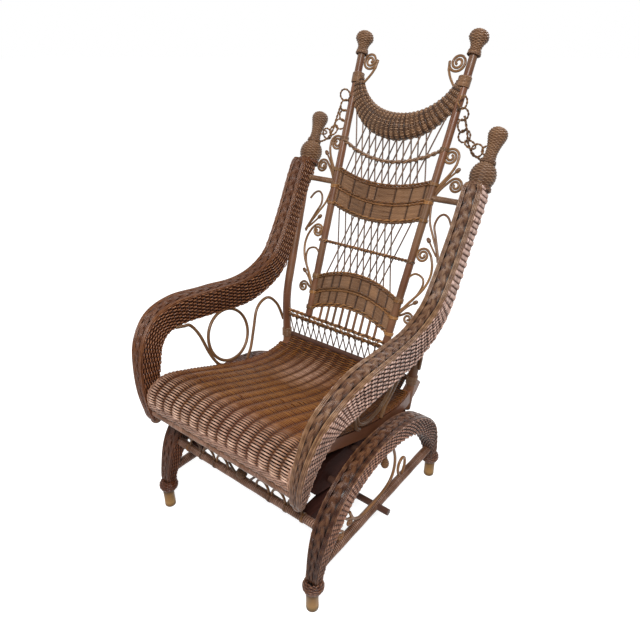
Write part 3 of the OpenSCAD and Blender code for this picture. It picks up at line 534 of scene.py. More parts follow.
def weaveBox(kind, body, node, stations, s):
    # a woven box on each side: weavers along it, hoops round it and a braid on its outer face
    bundle, braid, rims = Bundle(), Bundle(), Bundle()
    line, along = evenly(stations, s["hoop"] / 4)
    ahead = unit(np.gradient(line[:, 1:3], axis=0))
    inward = np.column_stack([np.zeros(len(line)), -ahead[:, 1], ahead[:, 0]])
    # drawn in at its two ends
    draw = np.clip(1 - np.minimum(along, along[-1] - along) / s["drawn"], 0, 1) ** 2
    line[:, :3] += inward * (s["drawIn"] * draw)[:, None]
    line[:, 3:5] *= (1 - s["narrow"] * draw)[:, None]
    centre, width, depth = line[:, :3], line[:, 3], line[:, 4]
    boxes = [openBox(w, d, min(6.0, 0.3 * min(w, d)), s["weavers"]) for w, d in zip(width, depth)]
    places, outs, lengths = (np.array(part) for part in zip(*boxes))
    outs *= np.sign(outs[len(line) // 2, 0, 0])

    def inBox(flat):
        return flat[..., :1] * xWay + flat[..., 1:] * inward[:, None]

    def lay(lift):
        return centre[:, None] + inBox(places) + lift * inBox(outs)

    wave = np.cos(math.pi * (along[:, None] / s["hoop"] + np.arange(s["weavers"])))
    wave = np.tanh(s["steep"] * wave) / math.tanh(s["steep"])
    swell = 0.5 * s["swell"] * (1 + np.cos(fullTurn * along / s["rib"]))[:, None]
    paths = lay((s["lift"] * wave - s["sink"] + swell)[..., None]).transpose(1, 0, 2)
    bundle.reeds(paths, inBox(outs).transpose(1, 0, 2),
                 np.minimum(s["reed"], lengths / (s["weavers"] - 1) * 0.44), 5, dip=(0.5 - 0.5 * wave).T)
    # hoops under the weavers, darker with painted shade
    bundle.reeds(lay(-s["sink"])[::4], np.gradient(centre, axis=0)[::4, None], s["hoopReed"], 5, dip=0.6)
    # closed core under the weave, dark with painted shade where the gaps show
    inset = s["sink"] + s["coreGap"]
    core = []
    for at, way, w, d in zip(centre[::4], inward[::4], width[::4] / 2 - inset, depth[::4] - inset):
        corners = np.array([[w, inset], [w, d], [-w, d], [-w, inset]])
        core.append(at + corners[:, :1] * xWay + corners[:, 1:] * way)
    bundle.skin(core)
    # braid between three long reeds a side on the outer face
    edge = np.minimum(s["edge"], width * 0.075)
    braidOver(braid, centre, -inward, along, width / 2 - s["edgeReeds"] * 2 * edge, s["braid"])
    for side in (-1, 1):
        for k in range(-1, s["edgeReeds"]):
            inset, lift = ((2 * k + 1) * edge, 0.9) if k >= 0 else (-0.2 * edge, -2.2)
            path = (centre + xWay * (side * (width / 2 - inset))[:, None]
                    - inward * (lift + 0.35 * np.sin(along / 17.0 + 2 * k + side))[:, None])
            rims.reeds(path, -inward, edge, dip=0.18 + 0.16 * np.sin(along / 9.0 + 3 * k) ** 2)
    # both ends closed under a rim of three reeds; the closing skin is dark with painted shade
    for i, way in ((0, -1), (-1, 1)):
        loop = lay(0.2)[i]
        loop = np.concatenate([loop, loop[:1]])
        heading = way * np.array([0, *ahead[i]])
        bundle.skin([loop[:-1] - heading * 3, loop[:-1] + heading * 0.6], 0.3, 0.75)
        for k in range(3):
            rims.reeds(loop - heading * (3.4 * k - 1.0), heading, s["edge"] * 0.95)
    bundle.buildSides(kind + "Weave", "sideWeave", body, node, "wicker")
    braid.buildSides(kind + "Braid", "braid", body, node, "wicker")
    rims.buildSides(kind + "Rims", "edgeReed", body, node, "wicker")


def wrapRod(bundle, start, end, radius, s):
    # cane wound closely round a straight rod
    fine, along = evenly([start, end], s["pitch"] / s["perTurn"])
    radial = fan(fullTurn * along / s["pitch"], *framed(fine, zWay))
    wobble = 1 + 0.02 * np.sin(along / 13.0)
    bundle.reeds(fine + radial * (radius * wobble)[:, None], radial, s["cane"], 5, flat=s["flat"],
                 tone=0.55, dip=0.1 + 0.15 * np.sin(along / 31.0) ** 2)
    # the bare rod under the wrap, dark with painted shade
    bundle.reeds(evenly([start, end], 8.0)[0], zWay, radius, 14, tone=0.2, dip=0.9)


def twine(bundle, line, normal, twist, phase=0.0, dip=0.25):
    # two reeds twisted round each other; twist is their lift, their radius and the pitch
    lift, reed, pitch = twist
    fine, along = evenly(line, pitch / 14)
    e, g = framed(fine, normal)
    for start in (phase, phase + math.pi):
        out = fan(fullTurn * along / pitch + start, e, g)
        bundle.reeds(fine + out * lift, out, reed, dip=dip)


def twineRing(bundle, centre, axis, radius, twist, count=40):
    origin, e, g, axis = ringFrame(centre, axis)
    twine(bundle, origin + radius * fan(np.linspace(0, fullTurn, count), e, g), axis, twist)


def tieRound(bundle, centre, axis, tie):
    # turns of cane round a post; a tie is its radius, the cane's radius, the turns and their gap
    radius, cane, turns, gap = tie
    origin, e, g, axis = ringFrame(centre, axis)
    a = np.linspace(0, fullTurn * turns, int(26 * turns))
    path = origin + axis * ((a / fullTurn - turns / 2) * gap)[:, None] + radius * fan(a, e, g)
    bundle.reeds(path, unit(path - origin), cane, flat=0.8, dip=0.15)


def rodOf(bundle, line, radius, normal, sides=18, wobble=0.012, step=6.0, tone=0.5):
    # a bare rod, not quite even in thickness
    fine, along = evenly(line, step)
    uneven = 1 + wobble * np.sin(along / 23.0) + wobble * np.sin(along / 9.0 + 1)
    bundle.reeds(fine, normal, radius * uneven, sides, tone=tone, dip=0.1)


def weaveTurned(bundle, profile, place, s):
    # weavers wound round a turned shape over an odd number of upright stakes
    origin, e, g, axis = place
    fine, along = evenly(profile, 0.5)
    turns = along[-1] / s["pitch"]
    a = np.linspace(0, fullTurn * turns, int(turns * s["perTurn"]))
    r, h = sample(fine, along, np.linspace(0, along[-1], len(a))).T
    rim = unit(np.stack([np.gradient(h), -np.gradient(r)], 1))
    rim = rim * np.where(rim[:, :1] < -0.2, -1, 1)
    wave = np.cos(s["stakes"] * a / 2)
    lift = s["lift"] * wave * np.minimum(1.0, r / s["calm"]) - s["sink"]
    radial = fan(a, e, g)
    out = unit(rim[:, :1] * radial + rim[:, 1:] * axis)
    path = origin + radial * np.maximum(r, 0.4)[:, None] + axis * h[:, None] + out * lift[:, None]
    bundle.reeds(path, out, s["reed"], 5, tone=0.6, dip=0.22 - 0.2 * wave)
    # core and stakes under the weave, dark with painted shade
    core = fan(evenAngles(18), e, g)
    bundle.skin([origin + axis * h + max(r - s["sink"] - 1.6, 0.3) * core for r, h in fine[::8]])
    keep = fine[::4]
    for stake in fan(evenAngles(s["stakes"]) + math.pi / s["stakes"], e, g):
        path = origin + stake * np.maximum(keep[:, :1] - s["sink"], 0.3) + axis * keep[:, 1:]
        bundle.reeds(path, np.cross(axis, stake), 1.3, 4, dip=0.6)


def turned(bundle, profile, place, sides=28, tone=0.5, dip=0.2):
    # a smooth turned solid from a profile of radius and height
    origin, e, g, axis = place
    spokes = fan(evenAngles(sides), e, g)
    bundle.skin([origin + axis * h + max(r, 0.05) * spokes for r, h in profile], tone,
                np.repeat(np.broadcast_to(dip, len(profile)), sides),
                np.repeat(np.array(profile, float)[:, 1], sides))


# Base arches

# what the woven boxes of arches and arms share
boxWeave = {"edgeReeds": 3, "drawn": 18.0, "drawIn": 3.5, "narrow": 0.16, "steep": 1.3, "hoopReed": 1.5,
            "coreGap": 2.6}
braid = {"reeds": 5, "share": 0.6, "flat": 0.6}
arch = {"halfBase": 275.0, "depth": 598.0, "width": 48.0, "thick": 50.0, "ankleWidth": 32.0,
        "ankleThick": 31.0, "ankleZ": 89.0, "ankleIn": 9.0, "kneeIn": 22.0, "kneeZ": 127.0,
        "crownY": 285.0, "crownZ": 327.0, "crownFront": 180.0, "crownRear": 190.0, "taper": 150.0}
archWeave = {**boxWeave, "hoop": 13.0, "weavers": 30, "reed": 1.95, "lift": 2.3, "sink": 1.9,
             "edge": 1.75, "swell": 1.0, "rib": 26.0,
             "braid": {**braid, "cycle": 96.0, "lift": 1.5, "rise": 1.2}}


def archStations():
    # from the rear ankle over the crown to the front one: rim, width and thickness
    crown = np.array([arch["crownY"], arch["crownZ"]])
    ankle = np.array([arch["ankleIn"], arch["ankleZ"]])
    rearAnkle = np.array([arch["depth"] - arch["ankleIn"], arch["ankleZ"]])
    front = bezier(ankle, ankle + [arch["kneeIn"], arch["kneeZ"]],
                   crown - [arch["crownFront"], 0], crown, 60)
    rear = bezier(crown, crown + [arch["crownRear"], 0],
                  rearAnkle + [-arch["kneeIn"], arch["kneeZ"]], rearAnkle, 60)
    path = np.concatenate([front, rear[1:]])[::-1]
    t = np.clip((path[:, 1] - arch["ankleZ"]) / arch["taper"], 0, 1)
    ease = t * t * (3 - 2 * t)
    thick = arch["ankleThick"] + (arch["thick"] - arch["ankleThick"]) * ease
    width = arch["ankleWidth"] + (arch["width"] - arch["ankleWidth"]) * ease
    ahead = unit(np.gradient(path, axis=0))
    rim = path + np.stack([ahead[:, 1], -ahead[:, 0]], 1) * (thick / 2)[:, None]
    return np.column_stack([atX(arch["halfBase"], rim), width, thick])


weaveBox("arch", "base", "base_arch", archStations(), archWeave)


# Arms

armHalf, armZ, armWide = 285.0, 617.0, 52.0
# distance from the middle, depth, height, width and thickness, from the ball down to the front peg
armTable = [
    (armHalf, 641, armZ + 309, armWide - 2, 62), (armHalf + 2, 610, armZ + 248, armWide, 55),
    (armHalf + 1, 577, armZ + 183, armWide, 53), (armHalf - 1, 520, armZ + 86, armWide + 1, 61),
    (armHalf - 1, 468, armZ + 29, armWide - 1, 71), (armHalf + 2, 370, armZ - 3, armWide - 4, 74),
    (armHalf + 12, 250, armZ + 1, armWide, 70), (armHalf + 20, 130, armZ + 8, armWide + 2, 69),
    (armHalf + 18, 50, armZ - 11, armWide - 3, 67), (armHalf + 6, -3, armZ - 58, armWide - 8, 64),
    (armHalf - 7, -29, armZ - 126, armWide - 16, 61), (armHalf - 21, -37, armZ - 202, armWide - 20, 46),
    (armHalf - 32, -30, armZ - 277, armWide - 24, 30)]
armWeave = {**boxWeave, "hoop": 14.0, "weavers": 38, "reed": 2.15, "lift": 2.6, "sink": 2.0,
            "edge": 1.85, "swell": 1.6, "rib": 28.0,
            "braid": {**braid, "cycle": 102.0, "lift": 1.6, "rise": 1.3}}
weaveBox("arm", "chair", "arm", through(armTable, 10), armWeave)


# Seat

seat = {"half": 241.0, "frontZ": 457.0, "lowShadeZ": 357.0, "backY": 512.0, "stake": 33.0, "stakeReed": 2.4,
        "reed": 1.95, "step": 4.2, "lift": 2.9, "sink": 2.8, "bold": 1.2, "calm": 0.55,
        "calmY": (40.0, 260.0), "splitY": 220.0, "pitch": 3.5, "firstRow": 20.0, "lastY": 503.0,
        "cornerX": 213.0, "cornerY": 477.0, "ropeRows": 4, "ropePitch": 4.8,
        "ropeTwist": (1.9, 2.0, 46.2), "edgeTwist": (2.0, 2.3, 24.0)}
seatFine, seatAlong = evenly(atX(0.0, through([
    (-29, 367), (-35, 400), (-28, seat["frontZ"] - 22), (2, seat["frontZ"] - 3), (40, seat["frontZ"]),
    (100, seat["frontZ"] - 16), (198, seat["lowShadeZ"] + 50), (300, seat["lowShadeZ"] + 17), (397, seat["lowShadeZ"]),
    (455, seat["lowShadeZ"] + 2), (490, seat["lowShadeZ"] + 18), (seat["backY"], seat["lowShadeZ"] + 39)], 10)), 1.0)
seatAhead = unit(np.gradient(seatFine, axis=0))
seatUp = np.column_stack([np.zeros(len(seatFine)), -seatAhead[:, 2], seatAhead[:, 1]])


def onSeat(at):
    return sample(seatFine, seatAlong, at), unit(sample(seatUp, seatAlong, at))


rearWeave, frontWeave, frontRows = Bundle(), Bundle(), Bundle()
at, row = seat["firstRow"], 0
lastRow = seatAlong[np.argmax(seatFine[:, 1] > seat["lastY"])] - 2
while at < lastRow:
    place, up = onSeat(at)
    reach = seat["half"] if place[1] < seat["cornerY"] else seat["cornerX"]
    x = np.linspace(-reach, reach, int(2 * reach / seat["step"]) + 1)
    line = np.column_stack([x, np.tile(place[1:], (len(x), 1))])
    if row < seat["ropeRows"]:
        # these rows take the rubbed colour with its painted highlight
        twine(frontRows, line - up * 1.4, up, seat["ropeTwist"], row * 0.9, 0.05)
        at += seat["ropePitch"]
    else:
        # rows swell over every other stake and dip behind the next, most at the front
        wave = np.cos(math.pi * (x / seat["stake"] + row))
        wave = np.sign(wave) * np.abs(wave) ** 0.8
        lift = seat["lift"] * (seat["bold"] - seat["calm"] * np.interp(place[1], seat["calmY"], (0, 1)))
        weave = frontWeave if place[1] < seat["splitY"] else rearWeave
        weave.reeds(line + up * (lift * wave - seat["sink"])[:, None], up, seat["reed"],
                    tone=(0.1 if row % 4 < 2 else 0.55) + 0.4 * random.random(), dip=0.5 - 0.5 * wave)
        at += seat["pitch"]
    row += 1
# stakes under the rows, darker with painted shade
place, up = onSeat(np.arange(seat["firstRow"] - 4, lastRow, 4.0))
for x in np.arange(-7, 8) * seat["stake"]:
    keep = (place[:, 1] < seat["cornerY"]) | (abs(x) < seat["cornerX"])
    rearWeave.reeds((place - up * seat["sink"])[keep] + xWay * x, xWay, seat["stakeReed"], dip=0.5)
# closed sheet under the weave, dark with painted shade where the gaps show
place, up = onSeat(np.arange(seat["firstRow"] - 2, lastRow, 4.0))
reach = np.where(place[:, 1] < seat["cornerY"], seat["half"] - 1.5, seat["cornerX"] - 1.0)
sheet = [place + up * (lift - seat["sink"] - 2.6) + np.outer(side * reach, xWay)
         for lift, side in ((0.4, -1), (0.4, 1), (-0.4, 1), (-0.4, -1))]
rearWeave.skin(np.stack(sheet, 1), 0.15)
# two twisted edges a side, flared at the front to meet the arms
place, up = onSeat(np.arange(seat["firstRow"], lastRow, 3.0))
for side in (-1, 1):
    line = (place - up * 1.5)[place[:, 1] < seat["cornerY"]] + [side * (seat["half"] - 2.5), 0, 0]
    line[:, 0] += side * 5.0 * np.clip((80 - line[:, 1]) / 50, 0, 1)
    twine(rearWeave, line, xWay, seat["edgeTwist"])
    twine(rearWeave, line + [side * -3.6, 0, -2.0], xWay, seat["edgeTwist"], 1.2)
rearWeave.build("seatWeave", "seatWeave", "chair", "seat_weave", "seat_brown")
frontWeave.build("seatWeaveFront", "seatWeave", "chair", "seat_weave", "seat_brown")
frontRows.build("seatFrontRows", "wrapCane", "chair", "seat_weave", "seat_brown")


# Wrapped rails and stretchers

wrap = {"pitch": 4.2, "perTurn": 16, "cane": 1.8, "flat": 0.6}
wideWrap = {"pitch": 5.6, "perTurn": 20, "cane": 2.35, "flat": 0.6}
stretcher = {"radius": 11.0, "z": 217.0, "frontY": 50.0}
rods = {
    "seatFrontRail": {"node": "seat_front_rail", "body": "chair", "wrap": wrap, "radius": 12.6,
                      "start": (-247.0, -18.5, 367.5), "end": (247.0, -18.5, 367.5)},
    "frontStretcher": {"node": "front_stretcher", "body": "base", "wrap": wideWrap, "radius": 10.2,
                       "start": (-251.0, 50.0, 217.0), "end": (251.0, 50.0, 217.0)},
    "rearStretcher": {"node": "rear_stretcher", "body": "base", "wrap": wideWrap, "radius": 10.2,
                      "start": (-251.0, 534.0, 217.0), "end": (251.0, 534.0, 217.0)},
    "sideStretchers": {"node": "side_stretchers", "body": "base", "wrap": wideWrap, "radius": 11.7,
                       "start": (275.0, 6.0, 122.0), "end": (275.0, 592.0, 122.0)}}
for name, s in rods.items():
    rod = Bundle()
    wrapRod(rod, s["start"], s["end"], s["radius"], s["wrap"])
    if name == "sideStretchers":
        rod.both()
    rod.build(name, "wrapCane", s["body"], s["node"], "wicker")


# Feet and ankles

foot = {"radius": footRadius, "wrapZ": 74.0, "wrapHalf": 15.0, "inset": 4.5,
        # change of radius, height and dip from the floor up; the dip makes the foot darker at the floor and
        # under the ankle wrap
        "profile": [(-5, 0, 0.9), (-1.6, 0.5, 0.8), (-0.4, 2.2, 0.6), (0, 5, 0.4), (-0.2, 16, 0.15),
                    (-0.5, 30, 0.1), (-0.3, 45, 0.2), (0, 58, 0.8), (0, 86, 0.9)]}
ankleWeave = {"pitch": 3.4, "perTurn": 52, "stakes": 13, "reed": 1.8, "lift": 0.9, "sink": 0.6,
              "calm": 10.0}
feet, ankles = Bundle(), Bundle()
r, h = foot["radius"], foot["wrapHalf"]
bulb = through([(r + 1, 1 - h), (r + 6, -0.62 * h), (r + 9.6, -0.1 * h), (r + 9.4, 0.35 * h),
                (r + 6.5, 0.78 * h), (r + 2.5, h - 1), (r - 3.5, h + 0.5)], 6)
for y, inward in ((0.0, 1.0), (arch["depth"], -1.0)):
    turned(feet, [(0, 0), *((r + change, z) for change, z, _ in foot["profile"]), (0, 86)],
           axisFrame((arch["halfBase"], y, 0), zWay),
           dip=[0.9, *(dip for *_, dip in foot["profile"]), 0.9])
    ankleAt = (arch["halfBase"], y + inward * foot["inset"], foot["wrapZ"])
    weaveTurned(ankles, bulb, axisFrame(ankleAt, zWay), ankleWeave)
feet.both().build("footPegs", "tipWood", "base", "foot_pegs", "peg_wood")
ankles.both().build("ankleWraps", "sideWeave", "base", "ankle_rings", "wicker_dark")


# Scrolls in the arches and on the stretcher

archScroll = {"bow": [(338, 302), (352, 263), (363, 231), (365, 198), (355, 167), (333, 149), (296, 140),
                      (250, 137), (206, 138), (170, 158), (150, 196)], "reed": 4.2, "curlReed": 3.5,
              "leaf": [(398, 134), (387, 160), (390, 184), (406, 195), (421, 184), (423, 158), (412, 134)]}
baseScrolls = Bundle()
for points in (archScroll["bow"], archScroll["leaf"]):
    line = atX(arch["halfBase"], through(points, 8))
    baseScrolls.reeds(evenly(line, 3.0)[0], xWay, archScroll["reed"], 10, dip=0.15)
for eye, tail in ((spiral((150, 162), 3, 13, 1.2, 90), [(138, 182), (124, 200)]),
                  (spiral((112, 146), 3, 13, 1.2, 60), [(108, 168), (98, 188), (92, 206)])):
    line = atX(arch["halfBase"], np.concatenate([eye, tail]))
    baseScrolls.reeds(evenly(through(line, 3), 2.0)[0], xWay, archScroll["curlReed"], 10, dip=0.15)
tip = through([(0.3, -46), (6, -44.5), (9.6, -38), (10, -31), (7.5, -22), (7, -12), (8, 2)], 6)
weaveTurned(baseScrolls, tip, axisFrame((282, arch["crownY"], arch["crownZ"] - 22), (-0.3, 0.17, 0.94)),
            {"pitch": 3.0, "perTurn": 36, "stakes": 9, "reed": 1.55, "lift": 0.7, "sink": 0.5, "calm": 8.0})
baseScrolls.buildSides("baseScrolls", "scrollReed", "base", "base_scrolls", "reed_brown")

hoop = {"centres": (74, 128, 182), "half": 22.0, "height": 30.0, "reed": 3.4, "tie": (12.0, 1.4, 2.5, 2.6)}
frontScrolls = Bundle()
y, top = stretcher["frontY"], stretcher["z"] + stretcher["radius"]
for centre in hoop["centres"]:
    a = np.radians(np.linspace(0, 180, 26))
    line = np.stack([centre - hoop["half"] * np.cos(a), np.full(26, y),
                     top - 1 + hoop["height"] * np.sin(a)], 1)
    frontScrolls.reeds(line, yWay, hoop["reed"], 8, dip=0.15)
    tieRound(frontScrolls, (centre + 27, y, stretcher["z"]), xWay, hoop["tie"])
line = [(22.0, y, top - 2), (35, y - 0.5, top + 11), (48, y, top + 26)]
frontScrolls.reeds(evenly(line, 3.0)[0], yWay, hoop["reed"] - 0.1, 8, dip=0.15)
frontScrolls.both()
ball = through([(0.3, -13.6), (8, -11), (13, -5), (13.8, 1), (12, 7), (7, 12), (0.3, 13.8)], 6)
weaveTurned(frontScrolls, ball, axisFrame((0, y, top + 12), zWay),
            {"pitch": 2.9, "perTurn": 40, "stakes": 11, "reed": 1.5, "lift": 0.7, "sink": 0.4, "calm": 9.0})
frontScrolls.build("frontScrolls", "scrollReed", "base", "front_scrolls", "reed_brown")


# Posts, pegs and struts

posts = {"foot": np.array([228.0, 493, 298]), "bend": np.array([243.0, 516, 525]),
         "top": np.array([283.0, 681, 905]), "radius": 13.0, "curve": 45.0}
footWay = unit(posts["bend"] - posts["foot"])
curveFrom = posts["bend"] - posts["curve"] * footWay
curveTo = posts["bend"] + posts["curve"] * unit(posts["top"] - posts["bend"])
t = np.linspace(0, 1, 14)[:, None]
curve = curveFrom * (1 - t) ** 2 + posts["bend"] * 2 * t * (1 - t) + curveTo * t * t
rearPost, backPost, pegs, struts = (Bundle() for _ in range(4))
rodOf(rearPost, [posts["foot"], *curve, posts["top"]], posts["radius"], xWay)
rearPost.buildSides("rearPost", "postWood", "chair", "rear_post", "red_wood")
rodOf(backPost, [inBack(postX(s), s) for s in (-20, backPlane["length"])], backPlane["postRadius"], xWay)
backPost.buildSides("backPost", "postWood", "chair", "back_post", "red_wood")

peg = {"at": (252.0, -15.0, 339.0), "radius": 12.0, "ball": 15.0, "shank": (14, 40)}
a = np.radians(np.linspace(-90, 40, 16))
ball = np.stack([np.cos(a), np.sin(a)], 1) * peg["ball"]
pegProfile = [*ball, *((peg["radius"], z) for z in peg["shank"])]
turned(pegs, pegProfile, axisFrame(peg["at"], zWay))
pegs.both().build("frontPegs", "postWood", "chair", "front_pegs", "red_wood")

strut = {"s": 400.0, "radius": 7.4, "pitch": 3.6, "perTurn": 14, "cane": 2.0, "flat": 0.6}
start = inBack(postX(strut["s"]), strut["s"])
share = (start[2] - posts["bend"][2]) / (posts["top"][2] - posts["bend"][2])
end = posts["bend"] + share * (posts["top"] - posts["bend"])
way = unit(end - start)
wrapRod(struts, start + 9 * way, end - 11 * way, strut["radius"], strut)
struts.both().build("backStruts", "backWeave", "chair", "back_struts", "red_wood")


# Crescent roll

crescent = {"horn": 706.0, "sag": 128.0, "mid": 36.0, "tip": 15.0, "arc": math.radians(82), "weavers": 46,
            "hoop": 7.5, "reed": 2.0, "lift": 0.75, "sink": 1.0, "rib": 15.0, "ribLift": 1.7, "flat": 0.72,
            "tie": (16.5, 1.9, 8, 3.5)}
t = np.linspace(-1, 1, 400)
a, cosEnd = t * crescent["arc"], math.cos(crescent["arc"])
half = crescent["tip"] + (crescent["mid"] - crescent["tip"]) * (1 - np.abs(t) ** 1.6)
rollLine, rollAlong = evenly(np.column_stack([
    postX(crescent["horn"]) * np.sin(a) / math.sin(crescent["arc"]) * 0.94,
    crescent["horn"] - crescent["sag"] * (np.cos(a) - cosEnd) / (1 - cosEnd),
    np.zeros(len(t)), half]), crescent["hoop"] / 5)
ahead = unit(np.gradient(rollLine[:, :2], axis=0))
rollHalf = rollLine[:, 3]
weaver = np.arange(crescent["weavers"])[:, None]
angle = weaver / crescent["weavers"] * fullTurn
wave = np.cos(math.pi * (rollAlong / crescent["hoop"] + weaver))
swell = np.cos(fullTurn * rollAlong / crescent["rib"]) * np.minimum(1.0, rollHalf / 26.0)


def onRoll(extra):
    across, out = (rollHalf + extra) * np.cos(angle), (rollHalf + extra) * np.sin(angle)
    return inBack(rollLine[:, 0] - ahead[:, 1] * across, rollLine[:, 1] + ahead[:, 0] * across,
                  crescent["flat"] * out)


roll = Bundle()
radius = np.minimum(crescent["reed"], fullTurn * rollHalf * 0.87 / crescent["weavers"] * 0.5)
# darker in the valleys between ribs and where a weaver passes under: painted shade
roll.reeds(onRoll(crescent["lift"] * wave + crescent["ribLift"] * swell - crescent["sink"]),
           unit(onRoll(5.0) - onRoll(0.0)), radius, 5, dip=np.clip(0.3 - 0.14 * wave - 0.3 * swell, 0, 1))
# hoops under the weavers, darker with painted shade
hoops = onRoll(-crescent["sink"])[:, ::5].transpose(1, 0, 2)
hoops = np.concatenate([hoops, hoops[:, :1]], 1)
roll.reeds(hoops, (inBack(ahead[::5, 0], ahead[::5, 1]) - inBack(0, 0))[:, None], 2.2, 5, dip=0.6)
# closed core under the weave, dark with painted shade
roll.skin(onRoll(-crescent["sink"] - 3.2)[::3, ::5].transpose(1, 0, 2))
for side in (-1, 1):
    tieRound(roll, inBack(side * (postX(crescent["horn"]) - 4), crescent["horn"]), postWay * [side, 1, 1],
             crescent["tie"])
roll.build("crescentRoll", "backWeave", "chair", "crescent_roll", "wicker")


# Knobs and balls

def pearProfile(head, neck, low, at):
    rise, cap = at - low, 0.78 * head
    return through([
        (neck + 3, low), (neck + 1, low + 0.2 * rise), (neck, low + 0.4 * rise),
        (neck + 0.35 * (head - neck), low + 0.66 * rise), (0.93 * head, low + 0.86 * rise), (head, at),
        (0.86 * head, at + 0.55 * cap), (0.5 * head, at + 0.88 * cap), (0.3, at + cap)], 6)


knobWeave = {"pitch": 3.3, "perTurn": 60, "stakes": 15, "reed": 1.85, "lift": 0.9, "sink": 0.7,
             "calm": 12.0}
ballWeave = {**knobWeave, "pitch": 3.9, "perTurn": 68, "stakes": 17, "reed": 2.1}
# each ring: place along the axis and radius
backKnob = {"head": 25.0, "neck": 14.0, "low": -8.0, "at": 33.0, "twist": (1.2, 1.7, 16.0),
            "rings": ((-10.0, 16.0), (-5.8, 15.4), (-1.6, 14.8))}
finial = {"at": np.array([285.0, 698, 934]), "lean": math.radians(29), "tilt": math.radians(3),
          "ball": 33.0, "ballHalf": 37.0, "knob": {"head": 24.0, "neck": 14.5, "low": 33.0, "at": 110.0},
          "neckRings": ((36.0, 19.0), (41.0, 18.0)), "neckTwist": (1.3, 1.9, 18.0),
          "rings": ((-32.0, 30.5), (-27.0, 29.0)), "twist": (1.7, 2.3, 26.0)}
armAxis = np.array([math.cos(finial["lean"]) * math.sin(finial["tilt"]), math.sin(finial["lean"]),
                    math.cos(finial["lean"]) * math.cos(finial["tilt"])])
armPlace = axisFrame(finial["at"], armAxis)
backKnobs, balls, knobs, rings = (Bundle() for _ in range(4))

knobFoot = inBack(postX(backPlane["length"]), backPlane["length"])
weaveTurned(backKnobs, pearProfile(*(backKnob[key] for key in ("head", "neck", "low", "at"))),
            axisFrame(knobFoot, postWay), knobWeave)
for at, r in backKnob["rings"]:
    twineRing(backKnobs, knobFoot + postWay * at, postWay, r, backKnob["twist"])
backKnobs.both().build("backKnobs", "backWeave", "chair", "back_knobs", "wicker")

a = np.radians(np.linspace(-68, 68, 30))
ball = np.stack([finial["ball"] * np.cos(a), finial["ballHalf"] * np.sin(a)], 1)
weaveTurned(balls, ball, armPlace, ballWeave)
balls.both().build("armBalls", "backWeave", "chair", "arm_balls", "wicker")

weaveTurned(knobs, pearProfile(**finial["knob"]), armPlace, knobWeave)
for at, r in finial["neckRings"]:
    twineRing(knobs, finial["at"] + armAxis * at, armAxis, r, finial["neckTwist"])
knobs.both().build("armKnobs", "backWeave", "chair", "arm_knobs", "wicker")

for at, r in finial["rings"]:
    twineRing(rings, finial["at"] + armAxis * at, armAxis, r, finial["twist"], 60)
rings.both().build("armRings", "edgeReed", "chair", "arm_rings", "wicker_dark")


# Panels of the back

panels = {"upper": {"low": (335, 309), "top": (438, 412), "gaps": (-139, -91, -37, -11, 53, 101, 140)},
          "lower": {"low": (8, 43), "top": (108, 144), "gaps": (-118, -84, -58, -20, 14, 48, 80, 112)}}
panelWeave = {"reed": 1.35, "rows": 46, "crown": 2.9, "gapHalf": 5.0, "ripple": 0.35}
panelBand = {"at": (0.015, 0.5, 0.985), "gap": 3.6, "out": 4.6, "twist": (1.7, 1.8, 24.0),
             "tie": (12.6, 1.7, 3.4, 3.2)}


def bowed(x, edge, middle):
    return middle + (edge - middle) * (x / backPlane["half"]) ** 2


def panelPiece(name, p):
    weave, bands = Bundle(), Bundle()
    low, top, gaps = (np.array(p[key], float) for key in ("low", "top", "gaps"))
    splintTone = 0.15 + random.random(len(gaps) + 1) * 0.65
    for i in range(panelWeave["rows"]):
        edge, middle = low + (top - low) * ((i + 0.5) / panelWeave["rows"])
        reach = postX(edge) - backPlane["postRadius"] + 2
        x = np.linspace(-reach, reach, 150)
        # weavers swell over each flat stake and dip between two of them, all in step
        nearest = np.min(np.abs(x[:, None] - gaps), axis=1)
        rise = panelWeave["crown"] * np.clip(nearest / panelWeave["gapHalf"], 0, 1) ** 0.6
        rise += panelWeave["ripple"] * np.cos(math.pi * (x / 6.0 + i)) * (nearest > panelWeave["gapHalf"])
        # darker where the weavers dip between stakes: painted shade in the grooves
        weave.reeds(inBack(x, bowed(x, edge, middle), rise - 0.6), backOut, panelWeave["reed"], 5,
                    dip=np.clip(1 - 0.85 * rise / panelWeave["crown"], 0, 1))
        weave.marks["tone"][-1] = np.repeat(splintTone[np.searchsorted(gaps, x)] + 0.3 * random.random(), 5)
        # stakes behind the weavers, darker with painted shade
        weave.reeds(inBack(x, bowed(x, edge, middle), -2.4)[::3], backOut, panelWeave["reed"], 4, dip=0.5)
    # thin closed board inside, dark with painted shade
    board = []
    for share in np.linspace(-1, 1, 24):
        (xLow, sLow), (xTop, sTop) = ((x, bowed(x, *ends) + gap) for x, ends, gap in (
            (share * (postX(low[0]) - backPlane["postRadius"] + 1), low, 1),
            (share * (postX(top[0]) - backPlane["postRadius"] + 1), top, -1)))
        board.append([inBack(xLow, sLow, -1.6), inBack(xTop, sTop, -1.6), inBack(xTop, sTop, -0.2),
                      inBack(xLow, sLow, -0.2)])
    weave.skin(board)
    weave.build(name + "Panel", "backWeave", "chair", name + "_panel", "wicker")
    for share in panelBand["at"]:
        edge, middle = low + (top - low) * share
        x = np.linspace(-1, 1, 80) * (postX(edge) - 2)
        for k in (-1, 1):
            line = inBack(x, bowed(x, edge, middle) + panelBand["gap"] * k, panelBand["out"])
            twine(bands, line, backOut, panelBand["twist"], 1.5 * k)
        for side in (-1, 1):
            tieRound(bands, inBack(side * postX(edge), edge), postWay * [side, 1, 1], panelBand["tie"])
    bands.build(name + "Bands", "ropeReed", "chair", None, "wicker_dark")


for name, p in panels.items():
    panelPiece(name, p)


# Rope arc and twisted rod

